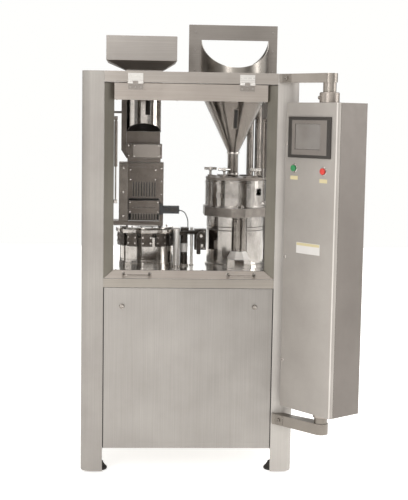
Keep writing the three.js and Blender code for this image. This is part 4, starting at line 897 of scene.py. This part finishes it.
def make_door_fittings(d0):
    part = Shape()
    part.prism(rect(-123, 16, 993, 1039), d0 - 0.9, d0 - 0.02, "y")
    on_cabinet(part, "door_blank_plate", "door", "label", "door_steel", (), 0.2)
    part = Shape()
    part.prism(rect(-121.5, 14.5, 1026, 1037.5), d0 - 1.3, d0 - 0.85, "y")
    on_cabinet(part, "door_plate_band", "door", "tag", "door_steel", (), 0.1)
    part = Shape()
    for z in (520, 970, 1450):
        lock = [(0, d0 - 1.4), (5.6, d0 - 1.4), (6.6, d0 - 0.6), (6.8, d0 + 0.1), (0, d0 + 0.1)]
        part.rod(lock, (CAB_LEFT + 11, z), 36, "y")
    on_cabinet(part, "door_locks", "door", "polish_x", "door_steel", (), 0.2)


def make_cabinet():
    make_cabinet_shell()
    make_cabinet_collars()
    make_cabinet_louvres()
    make_door_skin()
    make_screen(CAB_FRONT)
    make_button("start", -147, 1350, "green", CAB_FRONT)
    make_button("stop", 27, 1343, "red", CAB_FRONT)
    make_door_fittings(CAB_FRONT)


# ---------------------------------------------------------------- capsule station
def make_capsule_hopper():
    """The bin: four walls to the knee, then a funnel to the square mouth, in one skin."""
    walls = (-371, -55, 280, 580)
    wall = 3
    knee, rim, mouth, end = 1805, 1914, 1766, 1741.5
    inside = (walls[0] + wall, walls[1] - wall, walls[2] + wall, walls[3] - wall)
    throat, bore = (-283, -117, 347, 513), (-280, -120, 350, 510)
    levels = [(walls, rim), (walls, knee), (throat, mouth), (throat, end),
              (bore, end), (bore, mouth + 1), (inside, knee + 1), (inside, rim)]
    part = Shape()
    part.loft([[M(a, b, z) for a, b in rect(*sides)] for sides, z in levels], ring=True)
    part.finish("capsule_bin", "frame", "bin", "frame_steel", ["capsule_hopper"], 1.1, 3)


def chute_finish(middle, normal):
    """Bright tube, grey bracket and chute, and painted shade inside."""
    inside = math.hypot(middle.x - FEED[0], middle.y - FEED[1]) < 76.5
    if middle.x < -279.2 and middle.z > 1360:
        return 1
    if middle.z < 1489.5 and not (inside and middle.z < 1348.5):
        return 1
    return 2 if inside else 0


def make_feed_tube():
    paint(refine("capsule_feed_tube", "polish", 0.5, 28), ["magazine", "chute_inside_shade"], chute_finish)
    part = Shape()
    clamp = [(79.1, 1704), (83, 1704), (83.6, 1704.8), (83.6, 1715), (83, 1715.8), (79.1, 1715.8)]
    part.lathe(clamp, FEED)
    part.box((-205, -195), (FEED[1] - 92, FEED[1] - 83), (1705, 1715))
    part.finish("feed_tube_clamp", "frame", "polish_x", "polished_steel", (), 0.4)
    part = Shape()
    part.prism(rect(-248, -126, 1371, 1430), 367.2, 369.8, "y")
    part.finish("chute_cover", "frame", "chute_lid", "polished_steel", (), 0.8)
    part = Shape()
    part.screws((-268, -124), 370, (1378, 1424), 3.2)
    part.screws((-242, -132), 367.2, (1376, 1425), 3.2)
    part.finish("chute_screws", "frame", "polish_x", "polished_steel", (), 0.2)


def make_magazine():
    magazine = refine("capsule_magazine", "magazine", 0.7)
    paint(magazine, ["cast"], lambda middle, normal: 1 if middle.x < -272 else 0)
    refine("magazine_comb", "magazine", 0.5)
    part = Shape()
    part.screws((-291,), 390, (1100, 1210, 1320), 4.5)
    part.screws((-260, -144), 400, (1312, 1268), 3.6)
    part.screws((-116,), 400, (1200, 1260, 1320), 3.6)
    part.finish("magazine_screws", "frame", "polish_x", "cast_grey", (), 0.2)
    part = Shape()
    part.screws((-260, -132), 384, (1120, 1164), 3.2)
    part.finish("comb_screws", "comb", "polish_x", "cast_grey", (), 0.2)
    # A dark plate behind the magazine's slots and comb: painted shade in the hollow.
    part = Shape()
    part.box((-269.6, -128.4), (412.4, 414), (1078, 1344))
    part.box((-269.6, -128.4), (408.4, 412.5), (1078, 1080))
    part.finish("magazine_slot_shade_plate", "frame", "shadow", "cast_grey", (), 0.2)


def make_sensor():
    refine("capsule_sensor", "black", 0.9)
    part = Shape()
    part.rod([(0, 376.2), (6.5, 376.2), (6.5, 374.6), (5.4, 374), (0, 374)], (-92, 1132), 28, "y")
    part.prism(rect(-76, -42, 1122, 1142), 375.2, 376.1, "y")
    part.finish("sensor_lens_and_lid", "frame", "bezel", "sensor_plastic", (), 0.3)
    route = [(-32, 388, 1128), (-22, 389, 1127), (-8, 394, 1118), (2, 402, 1100), (8, 412, 1080),
             (9, 424, 1062), (10, 440, 1048.5)]
    part = Shape()
    part.tube(smooth_path(route), 2.2)
    part.finish("sensor_lead", "frame", "cable", "cable_rubber", ["sensor_cable"])


# ---------------------------------------------------------------- turret
SEGMENTS = 12
SEGMENT_FACE = 136.1


def make_turret_drum():
    """The fixed drum, its centre post and its cover plate."""
    part = Shape()
    drum = [(0, 1007.8), (118, 1007.8), (122.6, 1006.4), (125, 1003), (125, 900), (124.2, 899),
            (124.2, 896.6), (125, 895.6), (125, 884), (128, 882), (128, 866.4), (116, 866.4), (116, 996),
            (0, 996)]
    part.rod(drum, TURRET, 120)
    part.rod([(0, 1000), (34, 1000), (34, 1048), (0, 1048)], TURRET, 64)
    cover = [(0, 1046), (34, 1044.6), (120, 1042.6), (125, 1043.2), (126, 1044.6), (125.2, 1047),
             (123, 1048.4), (84, 1050), (78, 1049.6), (74, 1050.8), (40, 1053), (0, 1053)]
    part.rod(cover, TURRET, 120)
    part.finish("turret_drum", "frame", "polish", "polished_steel", ["turret_housing"], 0.3)
    part = Shape()
    for k in range(SEGMENTS):
        part.screw(*around(TURRET, 96, 30 * k + 15), 1049, 4.0, "z", 1.0)
    part.finish("turret_cover_screws", "frame", "polish_x", "polished_steel", (), 0.2)


def make_segment_screws():
    """Four cap screws in the outer face of each segment."""
    head = [(0, 0), (4.2, 0), (4.2, 2.2), (3.6, 2.7), (2.2, 2.7), (2.0, 1.2), (0, 1.2)]
    head = [(radius, SEGMENT_FACE + out) for radius, out in head]
    part = Shape()
    for _ in range(SEGMENTS):
        for side in (-18, 18):
            for z in (978, 1004):
                part.rod(head, (side, z), 14, "x", start=-90)
        part.place(360 / SEGMENTS, 0, 0)
    part.place(0, *TURRET)
    part.finish("segment_screws", "turret", "polish_x", "polished_steel")


def make_turret():
    make_turret_drum()
    disc = refine("turret_disc", "polish", 0.5)
    paint(disc, ["segment"], lambda middle, normal: 1 if middle.z < 1017.5 else 0)
    make_segment_screws()


# ---------------------------------------------------------------- closing station
def closing_finish(middle, normal):
    """The column and the guide rod get the bright copy of the steel, a painted highlight; the cylinder, the
    head and the actuator are dark.
    """
    in_head = 1013.5 < middle.z < 1030.5
    on_rod = 21 < middle.x < 37 and not in_head
    if middle.x > 40 or in_head:
        return 1
    return 1 if middle.x > -26.5 and not on_rod else 0


def make_closing_station():
    paint(refine("closing_station", "highlight_bar", 0.6), ["dark_cast"], closing_finish)
    part = Shape()
    part.lathe([(17.6, 932), (18.1, 932), (18.1, 972), (17.6, 972)], CYLINDER, 48)
    part.finish("cylinder_blank_label", "frame", "label", "polished_steel", (), 0.1)
    part = Shape()
    part.lathe([(16.1, 866.6), (21, 866.6), (21, 872), (19.6, 873.6), (16.1, 873.6)], CLOSING_COLUMN, 48)
    part.lathe([(17.6, 866.6), (22, 866.6), (22, 873), (21, 874.4), (17.6, 874.4)], CYLINDER, 48)
    part.lathe([(7.1, 866.6), (11, 866.6), (11, 870), (7.1, 871)], (29, 462), 32)
    part.finish("closing_flanges", "frame", "polish", "polished_steel", (), 0.4)
    part = Shape()
    for x, z in ((52, 946), (88, 946), (88, 1026)):
        part.screw(x, 456, z, 3.6)
    part.rod([(0, 419.9), (8, 419.9), (8, 417.6), (6.4, 416.6), (0, 416.6)], (72, 1008), 32, "y")
    part.prism(rect(56, 84, 950, 966), 454.6, 455.9, "y")
    for x in (-14, 4):
        part.screw(x, 432, 1046, 3.4, "z", 1.0)
    part.finish("closing_screws", "frame", "polish_x", "polished_steel", (), 0.2)


# ---------------------------------------------------------------- dosing station
SCREW_CIRCLE = 143.36


def make_front_column():
    """A turned column on an octagonal foot whose flared shoulder gets a painted highlight and whose shaft has
    painted shade.
    """
    part = Shape()
    shaft = [(0, 940), (33.5, 940), (33.5, 1083), (32.8, 1084), (31, 1085), (31, 1092), (32.8, 1093),
             (33.5, 1094), (33.5, 1100), (0, 1100)]
    part.rod(shaft, COLUMN, 88)
    foot = ((57, 866.4), (57, 907.5), (56, 908.6), (37, 944))
    part.loft([[M(*around(COLUMN, radius, 22.5 + 45 * k), z) for k in range(8)] for radius, z in foot])
    column = part.finish("front_column", "frame", "polish_dark", "polished_steel", ["dosing_column"], 0.8)

    # The shoulder's sloping faces get the painted highlight because of their turn; the shaft gets the painted
    # shade.
    def choose(middle, normal):
        if middle.z < 909.5:
            return 2
        return 1 if middle.z < 940.1 and abs(normal.z) > 0.1 else 0

    paint(column, ["highlight_bar", "polish_x"], choose)


def make_dosing():
    refine("dosing_drum", "polish", 0.4, 28)
    platform = refine("dosing_platform", "slab", 1.4)
    paint(platform, ["polish_x"], lambda middle, normal: 1 if middle.z > PLATFORM_TOP + 0.5 else 0)
    refine("dosing_bowl", "polish", 0.4, 28)
    refine("dosing_disc", "polish", 0.3)
    make_front_column()
    part = Shape()
    for k in range(8):
        part.screw(*around(DOSING, SCREW_CIRCLE, 45 * k + 22.5), PLATFORM_TOP, 5.5, "z", 1.0)
    part.finish("platform_screws", "frame", "polish_x", "platform_steel", (), 0.3)
    part = Shape()
    part.lathe([(145.1, 1252), (147.4, 1252.6), (147.4, 1258.4), (145.1, 1259)], DOSING, 120)
    foot_band = [(145.1, 1142.4), (149.4, 1142.4), (149.4, 1148), (148.6, 1149.4), (145.1, 1150)]
    part.lathe(foot_band, DOSING, 120)
    part.finish("bowl_bands", "frame", "polish", "polished_steel", (), 0.3)
    part = Shape()
    for z in (1034, 1048.6):
        seam = [(134, z), (135.6, z + 0.3), (135.8, z + 0.6), (135.8, z + 1.8), (135.6, z + 2.1),
                (134, z + 2.4)]
        part.lathe(seam, DOSING, 144)
    part.finish("drum_seams", "frame", "dark_cast", "polished_steel")


def make_head():
    refine("tamping_head", "cast", 0.6)
    hub = [(0, 1290.4), (6, 1290.4), (6, 1308), (9.6, 1312), (10, 1313), (10, 1323.6), (9.4, 1325),
           (7, 1326.4), (4, 1327), (0, 1327)]
    for label, angle, turn in (("left", 184, 8), ("front", 239, -12), ("right", 313, 20)):
        place = around(DOSING, 122, angle)
        part = Shape()
        part.rod(hub, place, 48)
        part.tube([(*around(place, reach, turn), 1319) for reach in (-29, -28, -10, 10, 28, 29)], 6.2, 20)
        node = f"clamp_knob_{label}"
        part.finish(f"t_knob_{label}", f"knob_{label}", "polish_x", "polished_steel", [node], 0.5)


# ---------------------------------------------------------------- powder hopper
NECK_RADIUS, NECK_LEVEL = 25, 1396
VESSEL_RADIUS, VESSEL_LEVEL = 159, 1672
RIM_TOP, RIM_DIP = 1917, 131


def hopper_rim(degrees):
    """Height of the rim at an angle round the hopper: highest at the sides, low at front and back."""
    return RIM_TOP - RIM_DIP * abs(math.sin(math.radians(degrees)))


def cone_radius(z):
    """The cone's outer radius at a height."""
    rise = (z - NECK_LEVEL) / (VESSEL_LEVEL - NECK_LEVEL)
    return NECK_RADIUS + (VESSEL_RADIUS - NECK_RADIUS) * rise


def cone_front(x, z):
    """How deep the front of the cone lies at a place."""
    return HOPPER[1] - math.sqrt(cone_radius(z) ** 2 - (x - HOPPER[0]) ** 2)


def make_hopper_shell():
    """Neck, cone and cylinder in one skin, outside and inside, with the rim rising to both sides."""
    segments = 144
    outside = [(25, 1240), (25, 1394), (27, 1400), (157.4, 1668.5), (159, 1673), (159, None)]
    inside = [(156, None), (156, 1673.5), (24, 1402), (22, 1397), (22, 1240)]
    turns = [360 * k / segments for k in range(segments)]
    rows = []
    for radius, height in outside + inside:
        rows.append([M(*around(HOPPER, radius, t), hopper_rim(t) if height is None else height)
                     for t in turns])
    part = Shape()
    part.loft(rows, ring=True)
    shell = part.finish("hopper_shell", "frame", "hopper", "hopper_steel", ["powder_hopper"], smooth=50)
    # The cone below the cylinder gets the darker copy of the steel: painted shade.
    paint(shell, ["cone"], lambda middle, normal: 1 if middle.z < 1671 else 0)


def make_shield_plate():
    """A folded plate across the hopper's middle, open below its top bar where the hopper stands."""
    left, right, bottom, top = 7, 421, 1747.6, 1987
    inner_left, inner_right, bar = 65.5, 378.5, 1917
    fold = (533.9, 557)
    part = Shape()
    face = [(left, bottom), (inner_left, bottom), (inner_left, bar), (inner_right, bar),
            (inner_right, bottom), (right, bottom), (right, top), (left, top)]
    part.prism(face, 531, 534, "y")
    part.box((left, left + 3), fold, (bottom, top - 0.05))
    part.box((right - 3, right), fold, (bottom, top - 0.05))
    part.box((left + 3.05, right - 3.05), fold, (top - 3, top))
    part.finish("shield_plate", "frame", "shield", "hopper_steel", (), 0.7, 3)
    part = Shape()
    part.screws((36, 400), 531, (1775, 1870, 1955), 4.2)
    part.finish("shield_screws", "frame", "shield", "hopper_steel", (), 0.2)


def make_sight_glass():
    """A glass strip in the cone's slot, dark with painted shade of the hopper's inside, with a thin frame
    round it.
    """
    part = Shape()
    for left, right, low, high, out in ((213, 235, 1506, 1598, 0.5), (216, 232, 1510, 1594, 1.1)):
        across = [left + (right - left) * k / 6 for k in range(7)]
        part.sheet([[M(x, cone_front(x, z) - out, z) for x in across] for z in range(low, high + 1, 4)])
    strip = part.finish("cone_sight_glass", "frame", "cast", "hopper_steel")

    # The raised glass gets the painted shade; the frame round it stays grey.
    def raised(middle, normal):
        return 1 if cone_front(middle.x, middle.z) - middle.y > 0.8 else 0

    paint(strip, ["shadow"], raised)


def make_powder_hopper():
    make_hopper_shell()
    make_shield_plate()
    make_sight_glass()
    part = Shape()
    collar = [(25.1, 1388), (29.5, 1389), (30, 1390), (30, 1397), (29.5, 1398), (26, 1399)]
    part.lathe(collar, HOPPER, 64)
    part.lathe([(25.1, 1290), (27.4, 1290.6), (27.4, 1300), (25.1, 1300.6)], HOPPER, 64)
    part.finish("neck_collars", "frame", "polish", "hopper_steel", (), 0.3)
    refine("hopper_column", "polish_dark", 0.5, 28)


def make_drive():
    refine("cam_shaft", "polish_x")
    refine("main_motor", "motor", 1.2)
    refine("index_gearbox", "cast", 2.0)


# ---------------------------------------------------------------- studio
# What the steel mirrors: softboxes with dark flags between them, by the angle from the camera's side.
AZIMUTH_LEVELS = [
    (-180, 1.60), (-168, 1.40), (-160, 0.30), (-148, 0.18), (-112, 0.20), (-102, 1.30), (-72, 1.35),
    (-64, 0.22), (-46, 0.20), (-38, 0.95), (-8, 1.12), (14, 1.12), (27, 1.00), (35, 0.22), (56, 0.24),
    (64, 1.25), (96, 1.30), (122, 1.00), (132, 0.12), (158, 0.25), (167, 1.40), (180, 1.60),
]
HEIGHT_LEVELS = [(-1.0, 0.45), (-0.12, 0.72), (0.05, 1.0), (0.45, 0.95), (0.75, 1.25), (1.0, 1.10)]
WORLD_LEVEL = 1.0
FLOOR_GLOW = 0.62
FLOOR_HALF = 9
FLOOR_GAP = 0.0004
WARM_WHITE = (1.0, 1.0, 0.985, 1)


def level_ramp(tree, source, stops, low, high):
    """A grey ramp over a value, with one stop for each (value, level) pair."""
    span = tree.nodes.new("ShaderNodeMapRange")
    span.inputs["From Min"].default_value = low
    span.inputs["From Max"].default_value = high
    tree.links.new(source, span.inputs["Value"])
    ramp = tree.nodes.new("ShaderNodeValToRGB")
    elements = ramp.color_ramp.elements
    while len(elements) < len(stops):
        elements.new(0.5)
    for element, (value, level) in zip(elements, stops):
        element.position = (value - low) / (high - low)
        element.color = (level, level * 0.995, level * 0.985, 1)
    tree.links.new(span.outputs["Result"], ramp.inputs["Fac"])
    return ramp.outputs["Color"]


def make_world():
    """A white backdrop, and the softboxes and flags that light the machine and show in its steel."""
    world = bpy.data.worlds.new("studio")
    bpy.context.scene.world = world
    world.use_nodes = True
    tree = world.node_tree
    tree.nodes.clear()

    def add(kind, **props):
        made = tree.nodes.new("ShaderNode" + kind)
        for key, value in props.items():
            setattr(made, key, value)
        return made

    def times(source, factor):
        made = add("Math", operation="MULTIPLY")
        made.inputs[1].default_value = factor
        tree.links.new(source, made.inputs[0])
        return made.outputs[0]

    axes = add("SeparateXYZ")
    tree.links.new(add("TexCoord").outputs["Generated"], axes.inputs["Vector"])
    angle = add("Math", operation="ARCTAN2")
    tree.links.new(axes.outputs["X"], angle.inputs[0])
    tree.links.new(times(axes.outputs["Y"], -1.0), angle.inputs[1])
    degrees = times(angle.outputs[0], 180 / math.pi)
    both = add("Mix", data_type="RGBA", blend_type="MULTIPLY")
    both.inputs["Factor"].default_value = 1.0
    tree.links.new(level_ramp(tree, degrees, AZIMUTH_LEVELS, -180, 180), both.inputs["A"])
    tree.links.new(level_ramp(tree, axes.outputs["Z"], HEIGHT_LEVELS, -1, 1), both.inputs["B"])
    studio = add("Background")
    studio.inputs["Strength"].default_value = WORLD_LEVEL
    tree.links.new(both.outputs["Result"], studio.inputs["Color"])
    backdrop = add("Background")
    backdrop.inputs["Color"].default_value = WARM_WHITE
    rays = add("LightPath")
    seen = add("Math", operation="MAXIMUM")
    tree.links.new(rays.outputs["Is Camera Ray"], seen.inputs[0])
    tree.links.new(rays.outputs["Is Transmission Ray"], seen.inputs[1])
    choose = add("MixShader")
    tree.links.new(seen.outputs[0], choose.inputs["Fac"])
    tree.links.new(studio.outputs["Background"], choose.inputs[1])
    tree.links.new(backdrop.outputs["Background"], choose.inputs[2])
    result = add("OutputWorld")
    tree.links.new(choose.outputs["Shader"], result.inputs["Surface"])


def make_floor():
    lo, _ = cad_box
    half = FLOOR_HALF
    mesh = bpy.data.meshes.new("studio_floor")
    bm = bmesh.new()
    for x, y in rect(-half, half, -half, half):
        bm.verts.new((x, y, lo.z - FLOOR_GAP))
    bm.faces.new(bm.verts)
    bm.to_mesh(mesh)
    bm.free()
    floor = bpy.data.objects.new("studio_floor", mesh)
    bpy.context.scene.collection.objects.link(floor)
    n = Nodes("pale_floor")
    n.link(n.ramp(n.noise(0.8, 3.0), (246, 246, 245), (252, 252, 251)), n.shader.inputs["Base Color"])
    n.link(n.span(n.noise(30.0, 3.0), 0.9, 1.0), n.shader.inputs["Roughness"])
    n.shader.inputs["Specular IOR Level"].default_value = 0.05
    n.shader.inputs["Emission Color"].default_value = WARM_WHITE
    n.shader.inputs["Emission Strength"].default_value = FLOOR_GLOW
    mesh.materials.append(n.material)


def softbox(name, place, look, size, power):
    data = bpy.data.lights.new(name, "AREA")
    data.shape = "RECTANGLE"
    data.size, data.size_y = size
    data.energy = power
    light = bpy.data.objects.new(name, data)
    light.location = place
    light.rotation_mode = "QUATERNION"
    light.rotation_quaternion = (Vector(look) - Vector(place)).to_track_quat("-Z", "Y")
    bpy.context.scene.collection.objects.link(light)


def make_studio():
    make_floor()
    make_world()
    softbox("key_softbox", (-1.9, -4.0, 3.0), (0, 0, 1.0), (1.2, 2.6), 70)
    softbox("fill_softbox", (3.8, -0.7, 2.3), (0, 0, 1.0), (0.9, 2.6), 32)
    softbox("top_softbox", (0.2, 0.4, 4.2), (0, 0, 0.8), (2.6, 2.6), 45)


# The camera, as it stood for the photo: its place in millimetres, its turns in radians, its lens.
CAMERA_PLACE = (-208.0, -5022.0, 1548.5)
CAMERA_YAW, CAMERA_PITCH, CAMERA_ROLL = 0.054, 0.1108, 0.0163
SENSOR_WIDTH = 36
LENS = 84.5424


def make_camera():
    data = bpy.data.cameras.new("camera")
    camera = bpy.data.objects.new("camera", data)
    bpy.context.scene.collection.objects.link(camera)
    yaw, pitch, roll = CAMERA_YAW, CAMERA_PITCH, CAMERA_ROLL
    level = math.cos(pitch)
    forward = Vector((math.sin(yaw) * level, math.cos(yaw) * level, -math.sin(pitch)))
    right = Vector((math.cos(yaw), -math.sin(yaw), 0))
    up = right.cross(forward)
    rolled_right = right * math.cos(roll) + up * math.sin(roll)
    rolled_up = -right * math.sin(roll) + up * math.cos(roll)
    turn = Matrix((rolled_right, rolled_up, -forward)).transposed()
    camera.rotation_mode = "QUATERNION"
    camera.rotation_quaternion = turn.to_quaternion()
    camera.location = M(*CAMERA_PLACE)
    data.sensor_width = SENSOR_WIDTH
    data.lens = LENS
    data.clip_start, data.clip_end = 0.1, 60
    bpy.context.scene.camera = camera


make_camera()
make_studio()
make_posts()
make_feet()
make_panels()
make_tray_and_table()
make_locks()
make_hatch()
make_hinges()
make_handles()
make_struts()
make_windows()
make_arms()
make_cabinet()
make_capsule_hopper()
make_feed_tube()
make_magazine()
make_sensor()
make_turret()
make_closing_station()
make_dosing()
make_head()
make_powder_hopper()
make_drive()

bpy.context.scene.view_settings.view_transform = "Standard"
